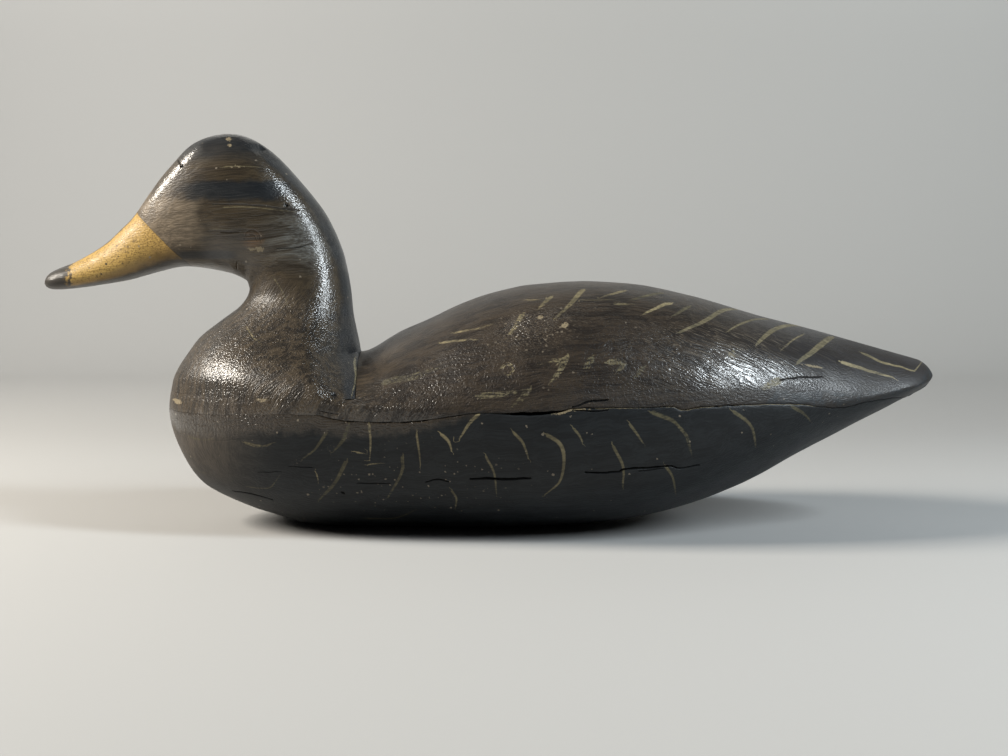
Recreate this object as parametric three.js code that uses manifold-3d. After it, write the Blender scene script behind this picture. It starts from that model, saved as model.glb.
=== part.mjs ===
// A carved and painted wooden black duck decoy: a head block set on a two-board body.
// Millimetres. The bill points to -X, the tail to +X, +Z is up, and the duck stands on its flat belly at Z = 0.
import * as THREE from 'three';
import * as BufferGeometryUtils from 'three/addons/utils/BufferGeometryUtils.js';
import Module from 'manifold-3d';

const wasm = await Module();
wasm.setup();

// Driving dimensions
const length = 430;
const billTip = -length / 2;
const tailTip = length / 2;
const breastFront = -155.5;
const breastHalfWidth = 63;
const bodyHalfWidth = 78;
const backHeight = 117;
const sharpTailHeight = 71.5;

// The level joint between the two boards of the body. It rises a little towards the tail.
const seamHeight = 59;
const seamRise = 0.015;

// The step that the head block stands on, and the slanted wall behind it.
const shelfHeight = 65;
const wallFoot = -59;
const wallTop = -62.5;
const crestHeight = 83;
const jointGap = 0.3;

// How far the round ends reach back along the body.
const breastReach = 76;
const breastDrop = 22;
const tailReach = 16;
const tailEdgeReach = 5;
const cornerReach = 12;

// Fineness
const bodyStations = 50;
const bodyRing = 44;
const headRows = 44;
const headRing = 32;

const paint = {
  head: { color: 0x2e2925, roughness: 0.42, metalness: 0 },
  back: { color: 0x2a221e, roughness: 0.4, metalness: 0 },
  belly: { color: 0x1c2124, roughness: 0.6, metalness: 0 },
};

// The body's form as profiles along its length: [X, value].
const halfWidth = profile([
  [breastFront, breastHalfWidth], [-103, 64.5], [-59, 69], [-11, 75], [34, bodyHalfWidth],
  [84, 73.5], [129, 60], [164, 44], [194, 30], [tailTip, 22],
]);
// In front of the wall the top is only a high round breast, which the step cuts off.
const topHeight = profile([
  [breastFront, 110], [-65, 110], [-63, crestHeight], [-43, 93], [-28, 99.7], [-13.7, 106.3], [1.4, 111.5],
  [21.5, 115.8], [46.4, backHeight], [66, 116], [95, 110.6], [127, 101.5], [169, 90.3], [190, 84.5], [tailTip, 77],
]);
const undersideHeight = profile([
  [breastFront, 34], [-151, 29], [-142.7, 21], [-127, 12.8], [-103.8, 4.6], [-86, 0.2], [-71, -1.2], [-11, -1.2],
  [26, 0], [56, 2.2], [74, 4.8], [102, 12], [121, 19.3], [153.5, 36], [190.5, 54.8], [208.6, 64.5], [tailTip, 67],
]);
const widestHeight = profile([
  [breastFront, 56], [-111, 58], [-63, 63], [-31, 61], [-1, 59], [99, 60], [149, 61], [174, 63], [199, 67.5],
  [tailTip, sharpTailHeight],
]);
// Section shapes: flat rounds the middle, and slope goes from 0.5 (a full round) to 1 and over (a roof or a bell).
const topFlat = profile([[breastFront, 2], [-65, 2], [-63, 1.7], [-1, 1.9], [59, 2.1], [tailTip, 1.8]]);
const topSlope = profile([
  [breastFront, 0.5], [-65, 0.5], [-63, 1.25], [-41, 0.9], [-1, 0.62], [49, 0.52], [119, 0.5], [159, 0.6],
  [189, 0.75], [tailTip, 0.6],
]);
const bellyFlat = profile([[breastFront, 2], [-61, 2.5], [59, 2.5], [149, 1.8], [tailTip, 1.6]]);
const bellySlope = profile([[breastFront, 0.5], [59, 0.45], [129, 0.6], [169, 0.8], [tailTip, 0.7]]);

// The head block as slices that fan out from the bill over the head and down the neck to its foot.
// upper is a slice's [X, Z] on the bill, brow, crown and nape, and lower is its [X, Z] on the bill's
// underside, jaw, throat and breast. wide is its half width, place is where that lies between lower (-1)
// and upper (1), and blunt is how square its upper and lower halves are. foot is 1 where it follows the body.
const slices = [
  { upper: [-215, 117.3], lower: [-215, 114.9], wide: 5, place: 0, blunt: [2, 2], foot: 0 },
  { upper: [-213, 121], lower: [-213, 113.3], wide: 9, place: -0.1, blunt: [2, 2.2], foot: 0 },
  { upper: [-208, 123.7], lower: [-206.7, 113.2], wide: 12, place: -0.25, blunt: [2, 2.4], foot: 0 },
  { upper: [-199.3, 127.3], lower: [-194.4, 114.6], wide: 13.5, place: -0.35, blunt: [1.9, 2.6], foot: 0 },
  { upper: [-186.6, 134.6], lower: [-176.8, 117.6], wide: 13.5, place: -0.35, blunt: [1.9, 2.6], foot: 0 },
  { upper: [-177.8, 142.7], lower: [-162.1, 121.2], wide: 14, place: -0.25, blunt: [2, 2.6], foot: 0 },
  { upper: [-172, 148.5], lower: [-149.4, 123.9], wide: 15.5, place: -0.2, blunt: [2.1, 2.6], foot: 0 },
  { upper: [-163.2, 159.8], lower: [-139.2, 123.5], wide: 19.5, place: -0.15, blunt: [2.3, 2.6], foot: 0 },
  { upper: [-153.9, 171.3], lower: [-130.9, 122.2], wide: 22, place: -0.1, blunt: [2.5, 2.6], foot: 0 },
  { upper: [-143.1, 182.7], lower: [-125, 120.7], wide: 23.2, place: -0.1, blunt: [2.6, 2.6], foot: 0 },
  { upper: [-129.9, 187.6], lower: [-121.1, 119.2], wide: 24, place: -0.1, blunt: [2.6, 2.6], foot: 0 },
  { upper: [-117.2, 186.6], lower: [-118.4, 117.8], wide: 24, place: -0.05, blunt: [2.6, 2.6], foot: 0 },
  { upper: [-104.5, 178.6], lower: [-116.8, 116.3], wide: 23.7, place: 0, blunt: [2.6, 2.5], foot: 0 },
  { upper: [-91.3, 164.8], lower: [-116.3, 114.3], wide: 23.2, place: 0, blunt: [2.6, 2.4], foot: 0 },
  { upper: [-80, 149.8], lower: [-116.3, 112.1], wide: 23, place: 0.05, blunt: [2.6, 2.3], foot: 0 },
  { upper: [-72, 132.8], lower: [-118, 108.5], wide: 23.6, place: 0.05, blunt: [2.6, 2.2], foot: 0 },
  { upper: [-68.1, 115.3], lower: [-122.1, 104.1], wide: 25.5, place: 0.1, blunt: [2.6, 2.1], foot: 0 },
  { upper: [-66.8, 102.1], lower: [-129.9, 98.5], wide: 31, place: 0.1, blunt: [2.6, 2], foot: 0 },
  { upper: [-65.1, 91.4], lower: [-140.7, 89.9], wide: 40, place: 0.05, blunt: [2.5, 2], foot: 0.1 },
  { upper: [-63.3, 83.1], lower: [-147.6, 80.4], wide: 50, place: 0, blunt: [2.6, 2], foot: 0.3 },
  { upper: [-60.6, 76.5], lower: [-152.2, 72.8], wide: 57, place: 0, blunt: [2.8, 2], foot: 0.6 },
  { upper: [-59, 70.4], lower: [-154.4, 68.2], wide: 61, place: 0, blunt: [3.4, 2], foot: 0.88 },
  { upper: [-58, 65.15], lower: [-155, 65.15], wide: 62, place: 0, blunt: [4, 2], foot: 1 },
];

const headBlock = joinRings(headSlices(), [billTip - 0.3, 0, 116.1], null);
const wholeBody = joinRings(bodyRings(), [breastFront, 0, widestHeight(breastFront)], [tailTip, 0, sharpTailHeight]);

const head = headBlock.subtract(wallBehindHead());
const upperBody = wholeBody.intersect(boardAboveSeam()).subtract(stepForHead());
const lowerBody = wholeBody.intersect(boardBelowSeam());

const duck = new THREE.Group();
duck.add(carvedPiece('head', head, paint.head));
duck.add(carvedPiece('upper_body', upperBody, paint.back));
duck.add(carvedPiece('lower_body', lowerBody, paint.belly));

// A smooth curve through [place, value] points that doesn't overshoot them.
function profile(points) {
  const steps = points.slice(1).map((point, i) => point[0] - points[i][0]);
  const slopes = steps.map((step, i) => (points[i + 1][1] - points[i][1]) / step);
  const tangents = points.map((point, i) => {
    if (i === 0) return slopes[0];
    if (i === points.length - 1) return slopes[i - 1];
    if (slopes[i - 1] * slopes[i] <= 0) return 0;
    const before = 2 * steps[i] + steps[i - 1];
    const after = steps[i] + 2 * steps[i - 1];
    return (before + after) / (before / slopes[i - 1] + after / slopes[i]);
  });
  return (place) => {
    const x = THREE.MathUtils.clamp(place, points[0][0], points[points.length - 1][0]);
    let i = 0;
    while (i < steps.length - 1 && x > points[i + 1][0]) i += 1;
    const t = (x - points[i][0]) / steps[i];
    return hermite(t, points[i][1], points[i + 1][1], steps[i] * tangents[i], steps[i] * tangents[i + 1]);
  };
}

function hermite(t, from, to, tangentFrom, tangentTo) {
  const start = (1 + 2 * t) * (1 - t) ** 2 * from + t * (1 - t) ** 2 * tangentFrom;
  const end = t * t * (3 - 2 * t) * to + t * t * (t - 1) * tangentTo;
  return start + end;
}

// 0 at an end of the body and 1 from reach onwards, along an ellipse or a blunter curve.
function roundEnd(distance, reach, blunt) {
  const left = THREE.MathUtils.clamp(1 - distance / reach, 0, 1);
  return (1 - left ** blunt) ** (1 / blunt);
}

// Half the body's width at its widest height, round at the breast.
function planHalf(x) {
  return halfWidth(x) * roundEnd(x - breastFront, breastReach, 2);
}

// Stations along the body lie closer together at its two ends and at the wall.
function bodyRings() {
  const middle = (breastFront + tailTip) / 2;
  const half = (tailTip - breastFront) / 2;
  const places = [-65, -63, -61, -57];
  for (let i = 1; i < bodyStations; i += 1) {
    places.push(middle - half * Math.cos((Math.PI * i) / bodyStations));
  }
  places.sort((a, b) => a - b);
  return places.filter((x, i) => i === 0 || x - places[i - 1] > 0.5).map(bodySection);
}

// A ring of points round the body at X, from the far side under the belly and back over the top.
function bodySection(x) {
  const half = planHalf(x) * roundEnd(tailTip - x, tailReach, 2.2);
  const thin = roundEnd(tailTip - x, tailEdgeReach, 2);
  const up = (topHeight(x) - widestHeight(x)) * roundEnd(x - breastFront, breastReach, 2) * thin;
  const down = (widestHeight(x) - undersideHeight(x)) * roundEnd(x - breastFront, breastDrop, 2.1) * thin;
  return Array.from({ length: bodyRing }, (unused, i) => {
    const angle = (2 * Math.PI * i) / bodyRing;
    const across = Math.cos(angle);
    const above = i <= bodyRing / 2;
    const flat = above ? topFlat(x) : bellyFlat(x);
    const slope = above ? topSlope(x) : bellySlope(x);
    const rise = Math.max(1 - Math.abs(across) ** flat, 0) ** slope;
    const z = widestHeight(x) + (above ? up : -down) * rise;
    return [x, half * across, Math.max(z, 0)];
  });
}

function headSlices() {
  return Array.from({ length: headRows + 1 }, (unused, i) => headSlice(i / headRows));
}

// Values between the slices run on a smooth curve through them.
function sliceValue(along, read) {
  const place = along * (slices.length - 1);
  const i = Math.min(Math.floor(place), slices.length - 2);
  const value = (index) => read(slices[THREE.MathUtils.clamp(index, 0, slices.length - 1)]);
  const tangent = (index) => {
    const inside = index > 0 && index < slices.length - 1;
    return (value(index + 1) - value(index - 1)) / (inside ? 2 : 1);
  };
  return hermite(place - i, value(i), value(i + 1), tangent(i), tangent(i + 1));
}

// A ring of points round one slice, from its upper point down the near side and up the far one.
function headSlice(along) {
  const value = (read) => sliceValue(along, read);
  const upper = [value((s) => s.upper[0]), value((s) => s.upper[1])];
  const lower = [value((s) => s.lower[0]), value((s) => s.lower[1])];
  const wide = value((s) => s.wide);
  const place = value((s) => s.place);
  const foot = value((s) => s.foot);
  return Array.from({ length: headRing }, (unused, i) => {
    const angle = (2 * Math.PI * i) / headRing;
    const over = Math.cos(angle) >= 0;
    const blunt = value((s) => s.blunt[over ? 0 : 1]);
    const reach = Math.abs(Math.cos(angle)) ** (2 / blunt);
    const t = over ? place + (1 - place) * reach : place - (1 + place) * reach;
    const x = THREE.MathUtils.lerp(lower[0], upper[0], (t + 1) / 2);
    const z = THREE.MathUtils.lerp(lower[1], upper[1], (t + 1) / 2);
    const carved = wide * Math.abs(Math.sin(angle)) ** (2 / blunt);
    const followed = planHalf(x) * roundEnd(upper[0] - x, cornerReach, 2.2);
    const side = Math.sin(angle) > 0 ? -1 : 1;
    return [x, side * THREE.MathUtils.lerp(carved, followed, foot), z];
  });
}

// Joins rings of equal length into a closed solid. Without an end point, the ring there is closed flat.
function joinRings(rings, firstEnd, lastEnd) {
  const count = rings[0].length;
  const points = rings.flat();
  const first = points.push(firstEnd ?? middleOf(rings[0])) - 1;
  const last = points.push(lastEnd ?? middleOf(rings[rings.length - 1])) - 1;
  const faces = [];
  const lastRing = (rings.length - 1) * count;
  for (let i = 0; i < count; i += 1) {
    const next = (i + 1) % count;
    faces.push([first, next, i], [last, lastRing + i, lastRing + next]);
    for (let row = 0; row < lastRing; row += count) {
      faces.push([row + i, row + next, row + count + next], [row + i, row + count + next, row + count + i]);
    }
  }
  return solidFrom(points, faces);
}

function middleOf(ring) {
  return [0, 1, 2].map((axis) => ring.reduce((sum, point) => sum + point[axis], 0) / ring.length);
}

function solidFrom(points, faces) {
  const loose = new THREE.BufferGeometry();
  loose.setAttribute('position', new THREE.Float32BufferAttribute(points.flat(), 3));
  loose.setIndex(faces.flat());
  return toSolid(loose);
}

function toSolid(geometry) {
  geometry.deleteAttribute('normal');
  geometry.deleteAttribute('uv');
  const merged = BufferGeometryUtils.mergeVertices(geometry, 1e-3);
  const index = merged.getIndex().array;
  const corners = [];
  for (let i = 0; i < index.length; i += 3) {
    const [a, b, c] = [index[i], index[i + 1], index[i + 2]];
    if (a !== b && b !== c && c !== a) corners.push(a, b, c);
  }
  return new wasm.Manifold(new wasm.Mesh({
    numProp: 3,
    vertProperties: new Float32Array(merged.getAttribute('position').array),
    triVerts: new Uint32Array(corners),
  }));
}

// A bar right across the duck, with its outline given as [X, Z] points.
function acrossBar(outline) {
  const depth = 4 * bodyHalfWidth;
  const shape = new THREE.Shape(outline.map(([x, z]) => new THREE.Vector2(x, z)));
  const bar = new THREE.ExtrudeGeometry(shape, { depth, bevelEnabled: false });
  bar.rotateX(Math.PI / 2);
  bar.translate(0, depth / 2, 0);
  return toSolid(bar);
}

function seamAt(x) {
  return seamHeight + seamRise * x;
}

function boardAboveSeam() {
  const [from, to] = [-length, length];
  const lift = jointGap / 2;
  return acrossBar([[from, seamAt(from) + lift], [to, seamAt(to) + lift], [to, length], [from, length]]);
}

function boardBelowSeam() {
  const [from, to] = [-length, length];
  const drop = jointGap / 2;
  return acrossBar([[from, -length], [to, -length], [to, seamAt(to) - drop], [from, seamAt(from) - drop]]);
}

function stepForHead() {
  const floor = shelfHeight - jointGap / 2;
  return acrossBar([
    [-length, floor], [wallFoot + jointGap / 2, floor], [wallTop + jointGap / 2, crestHeight],
    [wallTop + jointGap / 2, length], [-length, length],
  ]);
}

function wallBehindHead() {
  const floor = shelfHeight - jointGap;
  return acrossBar([
    [wallFoot - jointGap / 2, floor], [0, floor], [0, crestHeight], [wallTop - jointGap / 2, crestHeight],
  ]);
}

function carvedPiece(name, solid, finish) {
  const mesh = solid.getMesh();
  const geometry = new THREE.BufferGeometry();
  geometry.setAttribute('position', new THREE.BufferAttribute(new Float32Array(mesh.vertProperties), 3));
  geometry.setIndex(new THREE.BufferAttribute(new Uint32Array(mesh.triVerts), 1));
  geometry.computeVertexNormals();
  const piece = new THREE.Mesh(geometry, new THREE.MeshStandardMaterial(finish));
  piece.name = name;
  return piece;
}

export default duck;
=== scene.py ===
import math
from functools import reduce
import bmesh
import bpy
import numpy as np
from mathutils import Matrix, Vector


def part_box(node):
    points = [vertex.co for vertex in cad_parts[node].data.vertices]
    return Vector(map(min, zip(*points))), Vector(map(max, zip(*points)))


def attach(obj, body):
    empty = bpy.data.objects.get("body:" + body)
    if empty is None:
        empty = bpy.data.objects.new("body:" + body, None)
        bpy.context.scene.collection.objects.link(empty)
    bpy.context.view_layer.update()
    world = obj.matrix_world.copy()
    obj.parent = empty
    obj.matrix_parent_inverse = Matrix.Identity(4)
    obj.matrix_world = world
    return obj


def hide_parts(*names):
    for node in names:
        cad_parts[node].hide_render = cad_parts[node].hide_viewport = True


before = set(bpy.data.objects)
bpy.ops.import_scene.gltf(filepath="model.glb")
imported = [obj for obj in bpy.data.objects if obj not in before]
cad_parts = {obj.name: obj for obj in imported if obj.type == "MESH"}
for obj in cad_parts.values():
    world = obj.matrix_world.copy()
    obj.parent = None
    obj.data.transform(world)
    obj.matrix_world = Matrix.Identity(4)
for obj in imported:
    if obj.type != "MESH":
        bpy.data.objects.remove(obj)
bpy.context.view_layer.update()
millimetre = 0.001
print("frame loaded:", ", ".join(sorted(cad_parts)))

# Sizes of the form are in millimetres. The bill points to -X and the duck's near side is -Y.
billTip = (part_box("head")[0] / millimetre).x
tailTip = (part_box("upper_body")[1] / millimetre).x
breastFront = (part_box("lower_body")[0] / millimetre).x


# A smooth curve through (place, value) points that doesn't overshoot them.
def profile(points):
    places, values = np.array(points, float).T
    steps = np.diff(places)
    slopes = np.diff(values) / steps
    tangents = np.concatenate([slopes[:1], np.zeros(len(slopes) - 1), slopes[-1:]])
    for i in range(1, len(slopes)):
        if slopes[i - 1] * slopes[i] > 0:
            before = 2 * steps[i] + steps[i - 1]
            after = steps[i] + 2 * steps[i - 1]
            tangents[i] = (before + after) / (before / slopes[i - 1] + after / slopes[i])

    def value(x):
        x = np.clip(np.asarray(x, float), places[0], places[-1])
        i = np.clip(np.searchsorted(places, x) - 1, 0, len(steps) - 1)
        t = (x - places[i]) / steps[i]
        return hermite(t, values[i], values[i + 1], steps[i] * tangents[i], steps[i] * tangents[i + 1])

    return value


def hermite(t, start, end, tangentStart, tangentEnd):
    first = (1 + 2 * t) * (1 - t) ** 2 * start + t * (1 - t) ** 2 * tangentStart
    return first + t * t * (3 - 2 * t) * end + t * t * (t - 1) * tangentEnd


# 0 at an end of the body and 1 from reach onwards, along an ellipse or a blunter curve.
def roundEnd(distance, reach, blunt):
    left = np.clip(1 - distance / reach, 0, 1)
    return (1 - left ** blunt) ** (1 / blunt)


def smoothStep(low, high, x):
    t = np.clip((x - low) / (high - low), 0, 1)
    return t * t * (3 - 2 * t)


# Smooth random heights from -1 to 1, with lumps of the given size.
def lumps(places, size, seed):
    table = np.random.default_rng(seed).random(4096) * 2 - 1
    scaled = np.asarray(places, float) / size
    cell = np.floor(scaled).astype(np.int64)
    t = scaled - cell
    t = t * t * (3 - 2 * t)
    total = np.zeros(len(scaled))
    for corner in np.ndindex(2, 2, 2):
        at = cell + corner
        which = (at[:, 0] * 73856093 ^ at[:, 1] * 19349663 ^ at[:, 2] * 83492791) & 4095
        total += np.prod(np.where(corner, t, 1 - t), axis=1) * table[which]
    return total


# A line of short steps on a smooth curve through a mark's points.
def curveThrough(points):
    points = np.array(points, float)
    along = np.linspace(0, len(points) - 1, 10 * (len(points) - 1) + 1)
    i = np.minimum(along.astype(int), len(points) - 2)
    tangents = np.gradient(points, axis=0)
    return hermite((along - i)[:, None], points[i], points[i + 1], tangents[i], tangents[i + 1])


# For each place: its signed distance from a line, and how far along the line that is.
def besideLine(line, places):
    steps = np.diff(line, axis=0)
    lengths = np.linalg.norm(steps, axis=1)
    offset = places[:, None] - line[None, :-1]
    t = np.clip(np.sum(offset * steps, axis=2) / lengths ** 2, 0, 1)
    offset = offset - steps * t[..., None]
    away = np.linalg.norm(offset, axis=2)
    which = np.arange(len(places)), np.argmin(away, axis=1)
    side = np.where(steps[:, 0] * offset[..., 1] - steps[:, 1] * offset[..., 0] < 0, -1, 1)
    along = np.concatenate([[0], np.cumsum(lengths)[:-1]]) + t * lengths
    return (side * away)[which], along[which]


# The body, as in the solids: profiles along X.
body = {
    "seamHeight": 59,
    "seamRise": 0.015,
    "shelfHeight": 65,
    "wallFoot": -59,
    "wallTop": -62.5,
    "crestHeight": 83,
    "breastReach": 76,
    "breastDrop": 22,
    "tailReach": 20,
    "tailEdgeReach": 7,
    "halfWidth": profile([
        (breastFront, 63), (-103, 64.5), (-59, 69), (-11, 75), (34, 78), (84, 73.5), (129, 60), (164, 44),
        (194, 30), (tailTip, 22)]),
    "top": profile([
        (breastFront, 110), (-65, 110), (-63, 83), (-43, 93), (-28, 99.7), (-13.7, 106.3), (1.4, 111.5),
        (21.5, 115.8), (46.4, 117), (66, 116), (95, 110.6), (127, 101.5), (169, 90.3), (190, 84.5),
        (tailTip, 77)]),
    "underside": profile([
        (breastFront, 34), (-151, 29), (-142.7, 21), (-127, 12.8), (-103.8, 4.6), (-86, 0.2), (-71, -1.2),
        (-11, -1.2), (26, 0), (56, 2.2), (74, 4.8), (102, 12), (121, 19.3), (153.5, 36), (190.5, 54.8),
        (208.6, 64.5), (tailTip, 67)]),
    "widestHeight": profile([
        (breastFront, 56), (-111, 58), (-63, 63), (-31, 61), (-1, 59), (99, 60), (149, 61), (174, 63),
        (199, 67.5), (tailTip, 71.5)]),
    "topFlat": profile([(breastFront, 2), (-76, 2), (-60, 1.7), (-1, 1.9), (59, 2.1), (tailTip, 1.8)]),
    "topSlope": profile([
        (breastFront, 0.5), (-76, 0.5), (-60, 1.2), (-41, 0.9), (-1, 0.62), (49, 0.52), (119, 0.5),
        (159, 0.6), (189, 0.75), (tailTip, 0.6)]),
    "bellyFlat": profile([(breastFront, 2), (-61, 2.5), (59, 2.5), (149, 1.8), (tailTip, 1.6)]),
    "bellySlope": profile([(breastFront, 0.5), (59, 0.45), (129, 0.6), (169, 0.8), (tailTip, 0.7)]),
}


def planHalf(x):
    return body["halfWidth"](x) * roundEnd(x - breastFront, body["breastReach"], 2)


# Y and Z round the body at X. The angle is 0 at the near edge, then a quarter turn at the top.
def bodySection(x, angle):
    thin = roundEnd(tailTip - x, body["tailEdgeReach"], 2)
    half = planHalf(x) * roundEnd(tailTip - x, body["tailReach"], 2)
    middle = body["widestHeight"](x)
    up = (body["top"](x) - middle) * roundEnd(x - breastFront, body["breastReach"], 2) * thin
    down = (middle - body["underside"](x)) * roundEnd(x - breastFront, body["breastDrop"], 2.1) * thin
    above = np.sin(angle) >= 0
    flat = np.where(above, body["topFlat"](x), body["bellyFlat"](x))
    slope = np.where(above, body["topSlope"](x), body["bellySlope"](x))
    rise = np.clip(1 - np.abs(np.cos(angle)) ** flat, 0, 1) ** slope
    return -half * np.cos(angle), np.maximum(middle + np.where(above, up, -down) * rise, 0)


# The slanted wall behind the step that the head block stands on.
def wallAt(z):
    rise = np.clip((z - body["shelfHeight"]) / (body["crestHeight"] - body["shelfHeight"]), 0, 1)
    return body["wallFoot"] + (body["wallTop"] - body["wallFoot"]) * rise


# The joint line between the boards: how far it wanders on each side, and how far their edges draw back.
seam = {
    "nearWander": profile([
        (breastFront, 0), (-133, -0.5), (-97, 0.5), (-78, 0.4), (-64, -2.4), (-39, -3.1), (-22, -1.5),
        (-4, 0.8), (14, 0.5), (30, 1), (37, 2.6), (60, 2.4), (80, 2.2), (85, 0.9), (96, 1.7), (114, 1.9),
        (138, 1.1), (160, -2.4), (176, -0.2), (190, 0.5), (tailTip, 0)]),
    "farWander": profile([
        (breastFront, 0), (-90, 0.8), (-30, -1), (20, 0.6), (70, -0.6), (120, 0.8), (165, 0), (tailTip, 0)]),
    "gape": profile([
        (breastFront, 0.03), (-80, 0.03), (-60, 0.1), (4, 0.18), (10, 0.55), (18, 0.75), (28, 0.6), (36, 0.2),
        (tailTip, 0.12)]),
    "farGape": 0.08,
    "jagged": 0.25,
    "jagLength": 3,
    "jagSeed": 4,
    "roundedEdge": profile([(breastFront, 0.06), (-95, 0.08), (-72, 0.3), (tailTip, 0.3)]),
    "edgeReach": 0.7,
    "edgeChips": (0.9, 4, 8),
    "blockGap": 0.04,
}


def seamAt(x, across):
    side = np.clip(0.5 + across / (2 * body["halfWidth"](x)), 0, 1)
    wander = seam["nearWander"](x) * (1 - side) + seam["farWander"](x) * side
    gape = seam["gape"](x) * (1 - side) + seam["farGape"] * side
    places = np.stack([x, np.sign(across), 0 * x], axis=1)
    wander = wander + seam["jagged"] * lumps(places, seam["jagLength"], seam["jagSeed"])
    return body["seamHeight"] + body["seamRise"] * x + wander, gape


carving = {
    "meshStep": 1.25,
    "sectionSteps": 1200,
    "sideSteps": np.array([0, 0.04, 0.09, 0.16, 0.28, 0.42, 0.56, 0.7, 0.85]),
    "sideLength": 8.5,
    "overPoints": 172,
    "facePoints": 22,
    "headPoints": 190,
    "tailSplit": 1.05,
    "facets": [(26, 0.3, 5), (11, 0.14, 6), (5, 0.06, 7)],
    "thickPaint": (3.2, 0.07, 9),
    "floorFade": 4,
    "thinnest": 0.25,
    "unlimited": 1000,
    "wallLean": 20,
    "smoothAngle": 50,
}

# How far over the back the thick, wrinkled paint reaches from the joint edge; above it the paint is smooth.
wrinkledReach = profile([
    (breastFront, 40), (-58, 26), (-30, 32), (-15, 38), (0, 46), (15, 56), (40, 60), (60, 50), (80, 39),
    (93, 33), (117, 25), (141, 17), (160, 9), (tailTip, 2)])


def wrinkled(x, fromEdge):
    return smoothStep(8, -8, fromEdge - wrinkledReach(x))


# Gentle unevenness left by the knife and rasp.
def carvedRelief(places):
    flat = places.reshape(-1, 3)
    relief = sum(height * lumps(flat, size, seed) for size, height, seed in carving["facets"])
    return relief.reshape(places.shape[:-1])


# Places along the body, evenly spread over its surface also where the breast and the tail turn in.
def stationsAlong():
    step = carving["meshStep"]
    reach = body["breastReach"]
    tailReach = body["tailReach"]
    turn = np.linspace(0, math.pi / 2, int(1.3 * reach / step))[1:]
    breast = breastFront + reach * (1 - np.cos(turn))
    middle = np.arange(breast[-1] + step, tailTip - tailReach - step / 2, step)
    turn = np.linspace(0, math.pi / 2, int(1.6 * tailReach / step))[:-1]
    return np.concatenate([breast, middle, tailTip - tailReach * (1 - np.sin(turn))])


# The body's section at a station as a closed line: X, Y, Z and the direction straight out of the surface.
def sectionLine(station, limit, lean):
    angle = np.linspace(-math.pi / 2, 1.5 * math.pi, carving["sectionSteps"] + 1)
    x = np.full(len(angle), station)
    for _ in range(3):
        y, z = bodySection(x, angle)
        x = station + (wallAt(np.minimum(z, limit)) - body["wallFoot"]) * lean
    ahead, behind = (np.stack([x + d, *bodySection(x + d, angle)], axis=1) for d in (0.25, -0.25))
    out = np.cross(np.gradient(np.stack([x, y, z], axis=1), axis=0), ahead - behind)
    out /= np.maximum(np.linalg.norm(out, axis=1, keepdims=True), 1e-9)
    return np.concatenate([np.stack([x, y, z], axis=1), out], axis=1)


# Flattens the part of a line above a height (or below it, with side -1), and puts exact corners in.
def flatten(line, height, side):
    excess = side * (line[:, 2] - height)
    crossing = np.nonzero(excess[:-1] * excess[1:] < 0)[0]
    t = excess[crossing] / (excess[crossing] - excess[crossing + 1])
    corners = line[crossing] + (line[crossing + 1] - line[crossing]) * t[:, None]
    flat = line.copy()
    flat[:, 2] = np.where(excess > 0, height, line[:, 2])
    return np.insert(flat, crossing + 1, corners, axis=0), crossing + 1 + np.arange(len(crossing))


def lengthsAlong(line):
    return np.concatenate([[0], np.cumsum(np.linalg.norm(np.diff(line[:, :3], axis=0), axis=1))])


def pointsAt(line, lengths, at):
    return np.stack([np.interp(at, lengths, column) for column in line.T], axis=1)


# One row of a board: its outer points from the near joint edge to the far one, then its joint face.
def boardRow(station, upper, limit, lean):
    line = sectionLine(station, limit, lean)
    level, gape = seamAt(line[:, 0], line[:, 1])
    cut, corners = flatten(line, level + gape if upper else level - gape, -1 if upper else 1)
    least = round(len(line) * (math.pi / 2 - carving["tailSplit"]) / (2 * math.pi))
    if len(corners) > 1 and (corners[0] > least or not upper):
        near, far = corners[0], corners[-1]
        inside = cut[[far, near]]
    else:
        near, far = least, len(cut) - 1 - least
        inside = np.concatenate([cut[far:], cut[1:near + 1]])
    outside = cut[near:far + 1] if upper else np.concatenate([cut[far:], cut[1:near + 1]])[::-1]
    outside, _ = flatten(outside, limit, 1)
    lengths = lengthsAlong(outside)
    total = lengths[-1]
    nearSide = farSide = min(carving["sideLength"], total / 5)
    shelf = body["shelfHeight"] - seam["blockGap"]
    risen = np.nonzero(outside[:, 2] >= shelf - 1e-9)[0]
    if upper and len(risen) > 2 and risen[0] > 0:
        first, last = risen[0], risen[-1]
        nearCorner = np.interp(shelf, outside[first - 1:first + 1, 2], lengths[first - 1:first + 1])
        farCorner = total - np.interp(shelf, outside[last:last + 2, 2][::-1], lengths[last:last + 2][::-1])
        nearSide = nearCorner * lean + nearSide * (1 - lean)
        farSide = farCorner * lean + farSide * (1 - lean)
    elif upper and lean == 1:
        nearSide = farSide = 0.48 * total
    at = np.concatenate([
        nearSide * carving["sideSteps"], np.linspace(nearSide, total - farSide, carving["overPoints"]),
        total - farSide * carving["sideSteps"][::-1]])
    insideLengths = lengthsAlong(inside)
    faceAt = np.linspace(0, insideLengths[-1], carving["facePoints"] + 2)[1:-1]
    height = np.ptp(outside[:, 2])
    return pointsAt(outside, lengths, at), pointsAt(inside, insideLengths, faceAt), at, height


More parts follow.
